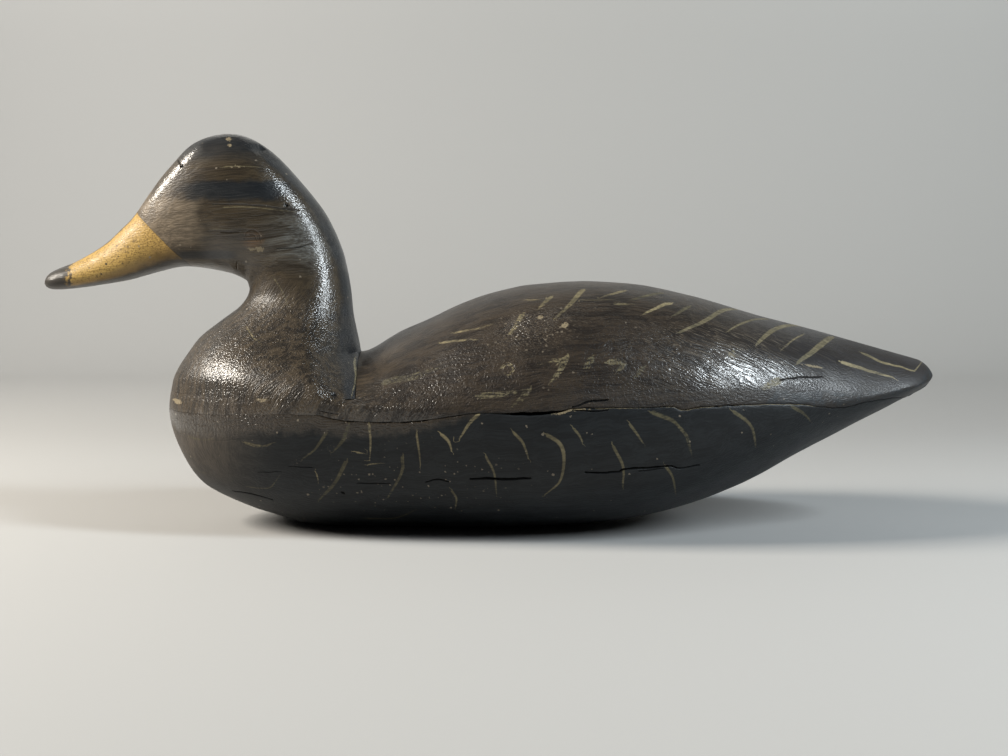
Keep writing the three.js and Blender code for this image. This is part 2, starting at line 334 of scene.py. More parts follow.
# Rows of a board between two places, with the carved relief and the slightly rounded joint edges.
def boardRows(places, upper, limit):
    behindWall = smoothStep(body["wallFoot"], body["wallFoot"] + carving["wallLean"], places)
    leans = 1 - behindWall if upper else 0 * places
    made = [boardRow(x, upper, limit, lean) for x, lean in zip(places, leans)]
    made = [row for row in made if row[3] > carving["thinnest"]]
    outer, face, lengths = (np.array([row[i] for row in made]) for i in range(3))
    out, outer, face = outer[..., 3:], outer[..., :3], face[..., :3]
    turned = np.sum(out * (outer - [0, 0, body["seamHeight"]]) * [0, 1, 1], axis=2) < 0
    out = out * np.where(turned, -1, 1)[..., None]
    fromEdge = np.minimum(lengths, lengths[:, -1:] - lengths)
    relief = carvedRelief(outer)
    if upper:
        size, height, seed = carving["thickPaint"]
        paint = height * lumps(outer.reshape(-1, 3), size, seed).reshape(fromEdge.shape)
        relief += paint * wrinkled(outer[..., 0], fromEdge)
    relief *= smoothStep(0, carving["floorFade"], outer[..., 2])
    relief[outer[..., 2] > limit - 1e-6] = 0
    side = len(carving["sideSteps"])
    relief[:, [side, -side - 1]] = carvedRelief(outer[:, [side, -side - 1]])
    height, size, seed = seam["edgeChips"]
    drawn = 1 + height * lumps(outer.reshape(-1, 3), size, seed).reshape(fromEdge.shape)
    drawn *= seam["roundedEdge"](outer[..., 0])
    outer = outer + out * (relief - drawn * np.clip(1 - fromEdge / seam["edgeReach"], 0, 1) ** 2)[..., None]
    outer[..., 2] = np.maximum(outer[..., 2], 0)
    unrolled = np.stack([outer[..., 0], lengths, lengths[:, -1:] + 0 * lengths], axis=2)
    faceUnrolled = np.stack([face[..., 0], np.full(face.shape[:2], -3), np.zeros(face.shape[:2])], axis=2)
    return np.concatenate([outer, face], axis=1), np.concatenate([unrolled, faceUnrolled], axis=1)


# A closed mesh of sheets of points, each a grid that may wrap round, with a point at each open end.
def skin(name, sheets, ends):
    points, places, faces, start = [], [], [], 0
    for sheet, unrolled, wraps in sheets:
        rows, count = sheet.shape[:2]
        grid = np.arange(start, start + rows * count).reshape(rows, count)
        turned = np.roll(grid, -1, axis=1)
        quads = np.stack([grid[:-1], turned[:-1], turned[1:], grid[1:]], axis=-1)
        faces += quads[:, :count if wraps else count - 1].reshape(-1, 4).tolist()
        points.append(sheet.reshape(-1, 3))
        places.append(unrolled.reshape(-1, 3))
        start += rows * count
    for which, row in ends:
        sheet, unrolled, _ = sheets[which]
        first = sum(s.shape[0] * s.shape[1] for s, _, _ in sheets[:which])
        ring = first + np.arange(sheet.shape[1]) + (row % sheet.shape[0]) * sheet.shape[1]
        faces += np.stack([ring, np.roll(ring, -1), np.full(len(ring), start)], axis=-1).tolist()
        points.append(sheet[row].mean(axis=0)[None])
        places.append(unrolled[row].mean(axis=0)[None])
        start += 1
    mesh = bpy.data.meshes.new(name)
    mesh.from_pydata((np.concatenate(points) * millimetre).tolist(), [], faces)
    layer = mesh.attributes.new("unrolled", "FLOAT_VECTOR", "POINT")
    layer.data.foreach_set("vector", np.concatenate(places).ravel())
    shape = bmesh.new()
    shape.from_mesh(mesh)
    bmesh.ops.remove_doubles(shape, verts=shape.verts, dist=2e-7)
    bmesh.ops.recalc_face_normals(shape, faces=shape.faces)
    shape.to_mesh(mesh)
    shape.free()
    piece = bpy.data.objects.new(name, mesh)
    bpy.context.scene.collection.objects.link(piece)
    return piece


def buildUpperBoard():
    places = stationsAlong()
    foot = body["wallFoot"]
    gap = carving["meshStep"] / 2
    shelf = body["shelfHeight"] - seam["blockGap"]
    front, frontPlaces = boardRows(np.append(places[places < foot - gap], foot), True, shelf)
    back, backPlaces = boardRows(np.insert(places[places > foot + gap], 0, foot), True, carving["unlimited"])
    side = len(carving["sideSteps"])
    over = slice(side, side + carving["overPoints"])
    t = np.linspace(0, 1, 9)[:, None, None]
    wall = front[-1, over] * (1 - t) + back[0, over] * t
    wallPlaces = frontPlaces[-1, over] * (1 - t) + backPlaces[0, over] * t
    sheets = [(front, frontPlaces, True), (back, backPlaces, True), (wall, wallPlaces, False)]
    return skin("upper_board", sheets, [(0, 0), (1, -1)])


def buildLowerBoard():
    rows, places = boardRows(stationsAlong(), False, carving["unlimited"])
    return skin("lower_board", [(rows, places, True)], [(0, 0), (0, -1)])


# The head block: slices that fan out from the bill over the head and down the neck, as in the solids.
# Each has its two ends, its half width, the place between the ends where it is widest, how blunt it is
# over and under that place, and how far it follows the body's outline there.
head = {
    "columns": ["upperX", "upperZ", "lowerX", "lowerZ", "wide", "place", "bluntOver", "bluntUnder", "foot"],
    "slices": [
        (-215, 117.3, -215, 114.9, 5, 0, 2, 2, 0),
        (-213, 121, -213, 113.3, 9, -0.1, 2, 2.2, 0),
        (-208, 123.7, -206.7, 113.2, 12, -0.25, 2, 2.4, 0),
        (-199.3, 127.3, -194.4, 114.6, 13.5, -0.35, 1.9, 2.6, 0),
        (-186.6, 134.6, -176.8, 117.6, 13.5, -0.35, 1.9, 2.6, 0),
        (-177.8, 142.7, -162.1, 121.2, 14, -0.25, 2, 2.6, 0),
        (-172, 148.5, -149.4, 123.9, 15.5, -0.2, 2.1, 2.6, 0),
        (-163.2, 159.8, -139.2, 123.5, 19.5, -0.15, 2.3, 2.6, 0),
        (-153.9, 171.3, -130.9, 122.2, 22, -0.1, 2.5, 2.6, 0),
        (-143.1, 182.7, -125, 120.7, 23.2, -0.1, 2.6, 2.6, 0),
        (-129.9, 187.6, -121.1, 119.2, 24, -0.1, 2.6, 2.6, 0),
        (-117.2, 186.6, -118.4, 117.8, 24, -0.05, 2.6, 2.6, 0),
        (-104.5, 178.6, -116.8, 116.3, 23.7, 0, 2.6, 2.5, 0),
        (-91.3, 164.8, -116.3, 114.3, 23.2, 0, 2.45, 2.4, 0),
        (-80, 149.8, -116.3, 112.1, 23, 0.05, 2.25, 2.3, 0),
        (-72, 132.8, -118, 108.5, 23.6, 0.05, 2.15, 2.2, 0),
        (-68.1, 115.3, -122.1, 104.1, 25.5, 0.1, 2.2, 2.1, 0),
        (-66.8, 102.1, -129.9, 98.5, 31, 0.1, 2.3, 2, 0),
        (-65.1, 91.4, -140.7, 89.9, 40, 0.05, 2.5, 2, 0.1),
        (-63.3, 83.1, -147.6, 80.4, 50, 0, 2.6, 2, 0.3),
        (-60.6, 76.5, -152.2, 72.8, 57, 0, 2.8, 2, 0.6),
        (-59, 70.4, -154.4, 68.2, 61, 0, 3.4, 2, 0.88),
        (-58, 65.04, -154.5, 65.04, 62, 0, 4, 2, 1),
    ],
    "billEnd": (billTip, 0, 116.1),
    "ridge": [(-166, 151), (-152, 166), (-136, 179.5)],
    "napeEdge": profile([
        (62, -66), (66, -67), (88, -74), (109, -73.5), (125, -76.5), (141, -83), (156, -91), (180, -116)]),
    "napeWidth": 0.94,
    "napeSlope": 0.7,
    "napeSoft": 3,
    "napeReach": 7,
    "footRamp": 10,
    "footFlare": 1.6,
    "footRings": (0.985, 0.8, 0.5, 0.2),
    "ridgeHeight": 0.7,
    "ridgeWidth": 3.5,
    "ridgeAside": (4, 9),
    "cornerReach": 12,
    "cornerStart": 9,
    "cornerBlunt": 2.2,
    "flushReach": 14,
    "flushHeight": (88, 80),
    "smoothBill": 30,
    "ringSteps": 1440,
}


# A slice's value between the slices, on a smooth curve through them.
def sliceValue(along, column):
    values = np.array(head["slices"], float)[:, head["columns"].index(column)]
    place = along * (len(values) - 1)
    i = np.minimum(place.astype(int), len(values) - 2)
    tangents = np.gradient(values)
    return hermite(place - i, values[i], values[i + 1], tangents[i], tangents[i + 1])


# The body's half width at a height above its widest one, which the foot of the head block follows.
def halfWidthAt(x, z):
    middle = body["widestHeight"](x)
    up = (body["top"](x) - middle) * roundEnd(x - breastFront, body["breastReach"], 2)
    rise = np.clip((z - middle) / np.maximum(up, 0.01), 0, 1) ** (1 / body["topSlope"](x))
    return planHalf(x) * (1 - rise) ** (1 / body["topFlat"](x))


# The same for the head block's foot, which goes over from the breast's width to the back's at the wall.
def footHalfWidth(x, z):
    wall, start = wallAt(z), head["napeEdge"](z) - head["footRamp"]
    front = halfWidthAt(np.minimum(x, start), z)
    behind = np.clip((x - start) / (wall - start), 0, 1) ** head["footFlare"]
    return front + (halfWidthAt(wall, z) - front) * behind


# The smaller of two values, with a soft corner.
def softLess(first, second, soft):
    near = np.maximum(soft - np.abs(first - second), 0) / soft
    return np.minimum(first, second) - near ** 2 * soft / 4


def headRings():
    fine = np.linspace(0, 1, 2001)
    lengths = lengthsAlong(np.stack([sliceValue(fine, "upperX"), sliceValue(fine, "upperZ")], axis=1))
    rows = int(lengths[-1] / carving["meshStep"])
    along = np.interp(np.linspace(0, lengths[-1], rows), lengths, fine)[:, None]
    angle = np.linspace(0, 2 * math.pi, head["ringSteps"] + 1)[None, :]
    over = np.cos(angle) >= 0
    upperX, upperZ, lowerX, lowerZ, wide, place, bluntOver, bluntUnder, foot = (
        sliceValue(along, column) for column in head["columns"])
    blunt = np.where(over, bluntOver, bluntUnder)
    reach = np.abs(np.cos(angle)) ** (2 / blunt)
    t = (np.where(over, place + (1 - place) * reach, place - (1 + place) * reach) + 1) / 2
    x = lowerX + (upperX - lowerX) * t
    z = lowerZ + (upperZ - lowerZ) * t
    carved = wide * np.abs(np.sin(angle)) ** (2 / blunt)
    slope = head["napeSlope"] * wide / np.maximum(upperX - head["napeEdge"](upperZ), head["napeReach"])
    plane = head["napeWidth"] * wide - slope * (x - head["napeEdge"](z))
    carved = np.where(over, np.maximum(softLess(carved, plane, head["napeSoft"]), 0.1 * carved), carved)
    behind = np.maximum(wallAt(z) - x, 0)
    besideWall = smoothStep(head["flushReach"], 2, behind) * smoothStep(*head["flushHeight"], z)
    foot = foot + (1 - foot) * besideWall
    corner = roundEnd(behind + head["cornerStart"], head["cornerReach"], head["cornerBlunt"])
    followed = corner * footHalfWidth(x, z)
    y = -np.sign(np.sin(angle)) * (carved + (followed - carved) * foot)
    x = np.minimum(x, wallAt(z) - seam["blockGap"])
    dense = np.stack([x, y, z], axis=2)
    share = np.linspace(0, 1, carving["headPoints"] + 1)[:-1]
    rings = []
    for line in dense:
        lengths = lengthsAlong(line)
        rings.append(pointsAt(line, lengths, share * lengths[-1]))
    return np.array(rings), share


# The ridge that the knife left on each side of the forehead, from 0 to 1.
def ridgeRelief(places):
    away, _ = besideLine(curveThrough(head["ridge"]), places.reshape(-1, 3)[:, [0, 2]])
    near = np.exp(-(away / head["ridgeWidth"]) ** 2).reshape(places.shape[:-1])
    return near * smoothStep(*head["ridgeAside"], np.abs(places[..., 1]))


# Directions straight out of a grid of points that lies round its own middle.
def outward(grid, middle):
    out = np.cross(np.gradient(grid, axis=0), np.gradient(grid, axis=1))
    out /= np.maximum(np.linalg.norm(out, axis=2, keepdims=True), 1e-9)
    return out if np.sum(out * (grid - middle)) > 0 else -out


def buildHead():
    rings, place = headRings()
    out = outward(np.concatenate([rings, rings[:, :1]], axis=1), rings.mean(axis=1, keepdims=True))[:, :-1]
    relief = carvedRelief(rings) + head["ridgeHeight"] * ridgeRelief(rings)
    free = smoothStep(0, 3, wallAt(rings[..., 2]) - rings[..., 0])
    relief *= np.where(rings[..., 2] < body["crestHeight"], free, 1)
    relief *= smoothStep(billTip, billTip + head["smoothBill"], rings[..., 0])
    rings = rings + out * relief[..., None]
    unrolled = rings.copy()
    unrolled[..., 1] = rings[..., 2]
    unrolled[..., 2] = np.abs(1 - 2 * place)[None, :]
    base, baseUnrolled = rings[-1], unrolled[-1]
    middle = base.mean(axis=0)
    shrunk = [middle + (base - middle) * size for size in head["footRings"]]
    rings = np.concatenate([rings, shrunk])
    unrolled = np.concatenate([unrolled, np.repeat(baseUnrolled[None], len(shrunk), axis=0)])
    first = np.linspace(0.35, 1, 4)[:-1, None, None]
    nose = np.array(head["billEnd"]) + (rings[0] - head["billEnd"]) * first
    nose[..., 0] = billTip + (rings[0][None, :, 0] - billTip) * first[..., 0] ** 2
    rings = np.concatenate([nose, rings])
    unrolled = np.concatenate([np.repeat(unrolled[:1], len(nose), axis=0), unrolled])
    return skin("head_block", [(rings, unrolled, True)], [(0, 0), (0, -1)])


headBlock = buildHead()
upperBoard = buildUpperBoard()
lowerBoard = buildLowerBoard()
pieces = {headBlock: ("head", "head_paint"), upperBoard: ("upper_body", "back_paint"),
          lowerBoard: ("lower_body", "belly_paint")}
for piece in pieces:
    print("carved:", piece.name, len(piece.data.polygons), "faces")


# Marks on the pieces. A place is X and the distance over the surface from the joint between the boards, or X
# and Z on the head. Strokes: width, how pale, how dry, points. Cuts: width, depth, side, points.
# Worn, hatched and sheen patches, the sheen a painted one: their middle's place, half length and half height.
upperMarks = {
    "strokes": [
        (1.6, 0.5, 0.5, [(-21, 44), (-4, 38.5)]),
        (1.5, 0.6, 0.7, [(-15.5, 49), (-4, 47.5), (7, 51)]),
        (2.2, 0.5, 0.55, [(15, 53), (12, 45), (7, 36)]),
        (4.5, 0.1, 0.6, [(-46, 24.5), (-33, 24.5), (-19.5, 28)]),
        (2.6, 0.35, 0.55, [(-3.5, 7.5), (7, 8.5), (16.5, 9.5)]),
        (2.6, 0.3, 0.6, [(17.5, 10), (14, 5.5), (10, 2)]),
        (1, 0.6, 0.5, [(18, 67), (25, 65.5)]),
        (2.2, 0.4, 0.5, [(28.5, 68), (22.5, 57)]),
        (2.5, 0.4, 0.4, [(43.5, 74), (37, 58), (30, 48)]),
        (2.2, 0.5, 0.4, [(62.5, 73), (57, 68), (52, 64.5)]),
        (0.5, 0.5, 0.3, [(43.5, 61.5), (57.5, 61.5)]),
        (2, 0.4, 0.5, [(59, 57.5), (64.5, 57.5)]),
        (2.4, 0.15, 0.4, [(80.5, 75), (72.5, 67.5), (65.5, 62)]),
        (2.2, 0.6, 0.35, [(83.5, 62.5), (76.5, 55), (70, 49.5)]),
        (2, 0.2, 0.45, [(92, 60), (83.5, 50)]),
        (2.9, 0.4, 0.2, [(117.5, 72), (110, 62), (98, 46.5), (85.5, 38.5)]),
        (1.8, 0.4, 0.3, [(132.5, 63), (120.5, 51.5), (109, 40)]),
        (3.3, 0.4, 0.2, [(150, 64.5), (134, 47), (122, 31.5)]),
        (1, 0.45, 0.4, [(147.5, 45), (133, 27.5)]),
        (3.2, 0.4, 0.2, [(164, 49), (151, 31.5), (140.5, 20.5)]),
        (1.8, 0.55, 0.15, [(177, 30), (187, 22.5), (197.5, 22.5), (208, 24)]),
        (1.9, 0.85, 0.35, [(164, 24.5), (177, 17), (189.5, 12.5)]),
        (3.4, 0.5, 0.5, [(129.5, 10.5), (121, 6.5)]),
        (4, 0.5, 0.6, [(109, 24), (114, 26.5)]),
        (2.8, 0.4, 0.5, [(34, 23.5), (31.5, 18.5), (27.5, 13)]),
        (1.8, 0.4, 0.65, [(33, 23), (26, 23), (19, 20.5)]),
        (2.8, 0.25, 0.6, [(45, 22), (40.5, 14)]),
        (2.4, 0.35, 0.5, [(53, 20.5), (59.5, 20.5), (55.5, 15)]),
        (2, 0.2, 0.6, [(67.5, 17.5), (62, 11.5)]),
        (1.4, 0.5, 0.6, [(6, 21.5), (8.5, 23), (11, 20.5), (9, 17.5), (6.5, 18.5)]),
    ],
    "cuts": [
        (1, 0.9, "both", [(36.5, 0.3), (44, 2.6), (52, 3.4)]),
        (0.7, 0.5, "both", [(130.5, 11), (140.5, 12.5), (152.5, 15)]),
        (0.5, 0.4, "near", [(-74, 2.2), (-66, 2.6)]),
        (0.6, 0.08, "near", [(5.5, 20), (8, 23), (11.2, 21), (9.6, 17.4), (6.2, 17.8)]),
    ],
    "worn": [(-146, 4.5, 4, 1.5), (-101, 7, 3, 1.8), (23, 50, 2, 1.6), (34, 42, 2, 2), (148, 20, 7, 0.8)],
    "hatched": [(108, 28, 46, 22), (20, 44, 20, 15)],
    "strokeWidth": 1,
}
lowerMarks = {
    "strokes": [
        (1.6, 0.8, 0.45, [(-52.5, 1), (-52, 8), (-52.5, 16.5)]),
        (1.4, 0.5, 0.35, [(-31.5, 5.5), (-30.5, 13), (-30, 20.5)]),
        (2.2, 0.3, 0.45, [(-38, 16), (-38.5, 23.5), (-45.5, 38)]),
        (2, 0.9, 0.3, [(-20.5, 7), (-17.5, 10.5), (-16, 15)]),
        (2.4, 0.65, 0.4, [(-4.5, 0.5), (-7.5, 3), (-12.5, 10)]),
        (1.6, 0.4, 0.3, [(-1, 19.5), (2.5, 27.5), (3.5, 39)]),
        (1.9, 0.45, 0.3, [(11, 7.5), (15, 12), (17.5, 19)]),
        (2.3, 0.5, 0.25, [(25.5, 9), (31, 13.5), (33, 21), (31.5, 32), (25.5, 39)]),
        (1.4, 0.4, 0.35, [(-16.5, 36), (-14.5, 41), (-15, 48)]),
        (1.6, 0.2, 0.4, [(-56, 57), (-43.5, 56), (-34.5, 49)]),
        (1.6, 0.5, 0.35, [(37, 8.5), (39.5, 11.5), (41, 15)]),
        (2, 0.4, 0.3, [(54.5, 17), (59, 26.5), (59.5, 38)]),
        (1.8, 0.4, 0.4, [(61.5, 7), (64.5, 11), (67.5, 15.5)]),
        (2.7, 0.25, 0.5, [(71.5, 2), (85, 9), (89.5, 20.5)]),
        (1.9, 0.25, 0.35, [(78, 27.5), (82, 34.5), (84.5, 46)]),
        (2.3, 0.3, 0.35, [(108, 2.5), (116.5, 9.5), (120, 20.5)]),
        (2.4, 0.1, 0.4, [(136, 1), (141.5, 4), (146, 8)]),
        (1.8, 0.2, 0.35, [(-72, 7.5), (-76.5, 15), (-82.5, 20)]),
        (2.4, 0.1, 0.45, [(-62, 2.5), (-64.5, 9), (-69, 15)]),
        (2.4, 0.15, 0.4, [(-63.5, 19), (-68.5, 30), (-77, 43.5)]),
        (2, 0.4, 0.65, [(-109, 13), (-101.5, 14.5), (-92.5, 12)]),
        (1.2, 0.05, 0.5, [(-110, 38), (-103.5, 38), (-99, 36.5), (-93.5, 28.5)]),
        (1.3, 0.05, 0.55, [(-138, 11.5), (-131.5, 12), (-125, 11.5)]),
        (1.3, 0.05, 0.55, [(-137, 32), (-130.5, 32.5)]),
        (1, 1, 0.3, [(-77, 27.5), (-76.5, 31)]),
        (1.3, 1, 0.3, [(-58.5, 14), (-56, 14.5)]),
        (0.8, 0.7, 0.3, [(-53, 19.5), (-48, 19)]),
    ],
    "cuts": [
        (0.9, 0.7, "both", [(-119.5, 43.5), (-109.5, 43.5), (-99.5, 46)]),
        (0.45, 0.35, "near", [(-89.5, 24.5), (-78.5, 24.5)]),
        (0.45, 0.35, "near", [(-104.5, 28), (-93, 27.5)]),
        (0.5, 0.12, "near", [(-147, 3.5), (-128, 5), (-108, 3.8), (-88, 5.5)]),
        (0.4, 0.1, "near", [(-140, 8), (-118, 9.4), (-95, 8.2)]),
        (0.4, 0.1, "near", [(-126, 12.5), (-108, 11.3), (-90, 12.8)]),
        (0.5, 0.45, "both", [(-59, 30), (-44, 29.5)]),
        (0.6, 0.6, "near", [(-28, 29.5), (-22, 29), (-17.5, 31)]),
        (1.2, 1.2, "both", [(-8, 30.5), (5, 30.5), (18.5, 29)]),
        (1, 1.2, "both", [(42.5, 29.5), (56, 29.5), (60.5, 28), (75.5, 28), (93.5, 28)]),
        (0.6, 0.5, "near", [(66, 29.5), (77.5, 29)]),
        (0.7, 0.7, "near", [(36.5, 0.4), (44, 1.2), (52, 0.6)]),
        (1.8, 0.6, "near", [(-66.2, 36), (-65.2, 36.5)]),
    ],
    "worn": [(35, 0.3, 9, 0.8), (88, 0, 18, 0.2), (56, 0, 14, 0.18), (130, 0, 26, 0.18)],
    "hatched": [(-36, 30, 45, 17)],
    "strokeWidth": 0.62,
}
headMarks = {
    "strokes": [
        (0.7, 0.75, 0.35, [(-124, 170.5), (-116, 170.8), (-108, 170.5)]),
        (1, 0.8, 0.4, [(-63.5, 80), (-61, 73), (-61, 66)]),
        (0.6, 0.7, 0.4, [(-124, 151.6), (-112, 151.6), (-92, 149.6)]),
        (0.6, 0.3, 0.4, [(-101, 118), (-97.5, 113), (-94.5, 106.5)]),
        (0.9, 0.7, 0.4, [(-111.5, 94.5), (-108, 91), (-104.5, 89)]),
        (0.5, 0.3, 0.4, [(-129, 141.5), (-118, 141)]),
    ],
    "cuts": [
        (0.7, 0.35, "both", [(-129.5, 152.8), (-112, 152.6), (-90, 150.6)]),
        (1.7, 0.7, "near", [(-95.8, 153), (-95, 152.6)]),
        (0.6, 0.16, "near", [(-107.2, 135.6), (-108, 139.4), (-111, 141.2), (-114, 140), (-115, 137)]),
        (0.5, 0.12, "near", [(-109, 136), (-110, 138.6), (-112.2, 139)]),
        (0.6, 0.4, "both", [(-100, 132.4), (-91.5, 132.8), (-83.5, 134.8)]),
        (0.6, 0.25, "near", [(-120, 123), (-119.4, 126)]),
        (1.8, 0.8, "near", [(-145.2, 171.2), (-144.4, 170.8)]),
        (0.7, 0.4, "near", [(-145, 171.3), (-148, 174.5)]),
        (0.4, 0.08, "near", [(-128.5, 66.9), (-121, 67.3), (-115.5, 67.4)]),
        (0.5, 0.3, "both", [(-126, 140), (-117, 140)]),
        (1.3, 0.7, "near", [(-69.5, 67), (-67.5, 66.6)]),
    ],
    "worn": [(-123.4, 184.2, 1.8, 1.2), (-122.2, 181, 1.2, 1.2), (-108, 132, 2.8, 1.5), (-112, 132, 2.4, 0.8),
             (-118, 170.6, 5, 0.5)],
    "hatched": [(-111, 137, 4.5, 4)],
    "strokeWidth": 0.75,
    "billEdge": profile([
        (120, -141), (124.4, -143.2), (131.8, -150.3), (143.4, -162), (149.4, -168.5), (156, -174)]),
    "billFoot": 109,
    "neckZ": (124, 108),
    "neckX": (-150, -112),
    "neckLean": (100, 0.6),
    "breastZ": (124, 96),
    "napeShade": (0.8, 5),
    "napeRidge": (6, 5, 128),
    # The painted sheen on the rear cheek, a lighter grey broken by fine lines.
    "sheen": [(-88, 137, 16, 13)],
}
marking = {
    "near": 4,
    "beside": 4,
    "besideStroke": 5,
    "cutTaper": (0.55, 0.45),
    "cutLeast": 0.12,
    "cutSides": 0.7,
    "darkSides": 1.35,
    "patchSides": 1.4,
    "strokeTaper": (1.1, 0.6),
    "strokeDries": (0.7, 0.6),
    "cutReach": (2.4, 1.3),
    "farShift": (9, 2.5),
    "farKept": 0.7,
    "wander": (0.15, 5),
    "darkDepth": 0.6,
}


# The places of vertices on the near and the far side of a piece, with those that lie on that side.
def sidesOf(piece, unrolled, points):
    if piece is headBlock:
        return {"near": (unrolled[:, :2], points[:, 1] < 0), "far": (unrolled[:, :2], points[:, 1] >= 0)}
    total = unrolled[:, 2]
    outer = unrolled[:, 1] > -0.01
    mirrored = np.stack([unrolled[:, 0], total - unrolled[:, 1]], axis=1)
    return {"near": (unrolled[:, :2], outer & (unrolled[:, 1] <= total / 2)),
            "far": (mirrored, outer & (unrolled[:, 1] > total / 2))}


# The lines of a list of marks on each side. On the far side some are left out and the others are shifted.
def linesOn(side, marks, seed):
    random = np.random.default_rng(seed)
    lines = []
    for first, second, third, points in marks:
        shift = (random.random(2) * 2 - 1) * marking["farShift"]
        kept = random.random() < marking["farKept"]
        if side == "far" and (third == "near" or not kept):
            continue
        lines.append((first, second, third, np.array(points, float) + (shift if side == "far" else 0)))
    return lines


# Each mark of a piece that has vertices within reach: its look, its line, those vertices and their places.
def linesNear(piece, marks, seed, unrolled, points, reach):
    for side, (places, there) in sidesOf(piece, unrolled, points).items():
        for first, second, third, line in linesOn(side, marks, seed):
            line = curveThrough(line)
            inside = (places > line.min(axis=0) - reach) & (places < line.max(axis=0) + reach)
            close = np.nonzero(there & np.all(inside, axis=1))[0]
            if len(close) > 0:
                yield (first, second, third), line, close, places[close]


# Makes the mesh finer beside the cuts, and pushes it in along them.
def cutInto(piece, cuts, seed):
    shape = bmesh.new()
    shape.from_mesh(piece.data)
    layer = shape.verts.layers.float_vector["unrolled"]

    def depthAndNearness():
        points = np.array([v.co for v in shape.verts]) / millimetre
        unrolled = np.array([v[layer] for v in shape.verts])
        away = np.full(len(points), 1000.0)
        depth = np.zeros(len(points))
        share = np.zeros(len(points))
        sway, swayLength = marking["wander"]
        ends, middle = marking["cutTaper"]
        for look, line, close, spot in linesNear(piece, cuts, seed, unrolled, points, marking["beside"]):
            width, deep, _ = look
            wavering = np.stack([spot[:, 0], 0 * close, 0 * close], axis=1)
            spot = spot + np.stack([0 * close, sway * lumps(wavering, swayLength, seed)], axis=1)
            across, along = besideLine(line, spot)
            gone = np.clip(along / lengthsAlong(line)[-1], 0, 1)
            half = width / 2 * (ends + middle * np.sin(gone * math.pi)) + marking["cutLeast"]
            inward = np.clip(1 - np.abs(across) / half, 0, 1)
            away[close] = np.minimum(away[close], np.abs(across) - half)
            depth[close] = np.maximum(depth[close], deep * inward ** marking["cutSides"])
            dark = np.clip(marking["darkSides"] - np.abs(across) / half, 0, 1)
            share[close] = np.maximum(share[close], dark * min(1, deep / marking["darkDepth"]))
        return away, depth, share

    for reach in marking["cutReach"]:
        away, _, _ = depthAndNearness()
        edges = [edge for edge in shape.edges if all(away[vertex.index] < reach for vertex in edge.verts)]
        bmesh.ops.subdivide_edges(shape, edges=edges, cuts=1, use_grid_fill=True)
        shape.verts.index_update()
    shape.normal_update()
    _, depth, share = depthAndNearness()
    normals = [v.normal.copy() for v in shape.verts]
    for vertex, normal, deep in zip(shape.verts, normals, depth):
        if deep > 0:
            vertex.co -= normal * (deep * millimetre)
    shape.to_mesh(piece.data)
    shape.free()
    return share


def addVectors(piece, name, *columns):
    layer = piece.data.attributes.new(name, "FLOAT_VECTOR", "POINT")
    layer.data.foreach_set("vector", np.stack(columns, axis=1).astype(np.float32).ravel())


# Stores for each vertex where it lies beside the nearest of a set of strokes.
def strokeOver(piece, marks, seed, unrolled, points):
    across = np.full(len(points), 9.0)
    half, near, along, pale, dry = (np.zeros(len(points)) for _ in range(5))
    widest, narrows = marking["strokeTaper"]
    wettest, dries = marking["strokeDries"]
    reach = marking["besideStroke"]
    for look, line, close, spot in linesNear(piece, marks["strokes"], seed, unrolled, points, reach):
        width, paleness, dryness = look
        beside, gone = besideLine(line, spot)
        t = gone / lengthsAlong(line)[-1]
        better = np.abs(beside) < np.abs(across[close])
        at = close[better]
        across[at] = beside[better]
        half[at] = (width * marks["strokeWidth"] / 2 * (widest - narrows * t ** 2))[better]
        near[at] = 1 - np.abs(beside[better]) / marking["near"]
        along[at] = gone[better]
        pale[at] = paleness
        dry[at] = (dryness * (wettest + dries * t ** 2))[better]
    addVectors(piece, "stroke", across, half, near)
    addVectors(piece, "strokeLook", along, pale, dry)


def patchesOver(patches, places, there):
    share = np.zeros(len(places))
    for x, up, halfLong, halfHigh in patches:
        away = np.hypot((places[:, 0] - x) / halfLong, (places[:, 1] - up) / halfHigh)
        share = np.maximum(share, np.where(there, np.clip(marking["patchSides"] - away, 0, 1), 0))
    return share


# How much of a second paint covers a board near its joint edge: the dark belly paint at the tail of the
# upper board, and the brown back paint at the front of the lower one.
bellyPaintTop = profile([
    (breastFront, -9), (112, -9), (124, 1), (130, 6.5), (141, 5.5), (152, 8), (166, 7), (182, 5.2),
    (191, 7.3), (196, 9.8), (203, 15), (tailTip, 17)])
brownPaintFoot = profile([
    (breastFront, 7), (-130, 10), (-118, 8.5), (-83, 7.5), (-60, 6), (-40, 4.5), (-25, 3), (-8, 0.5),
    (10, -3), (tailTip, -3)])


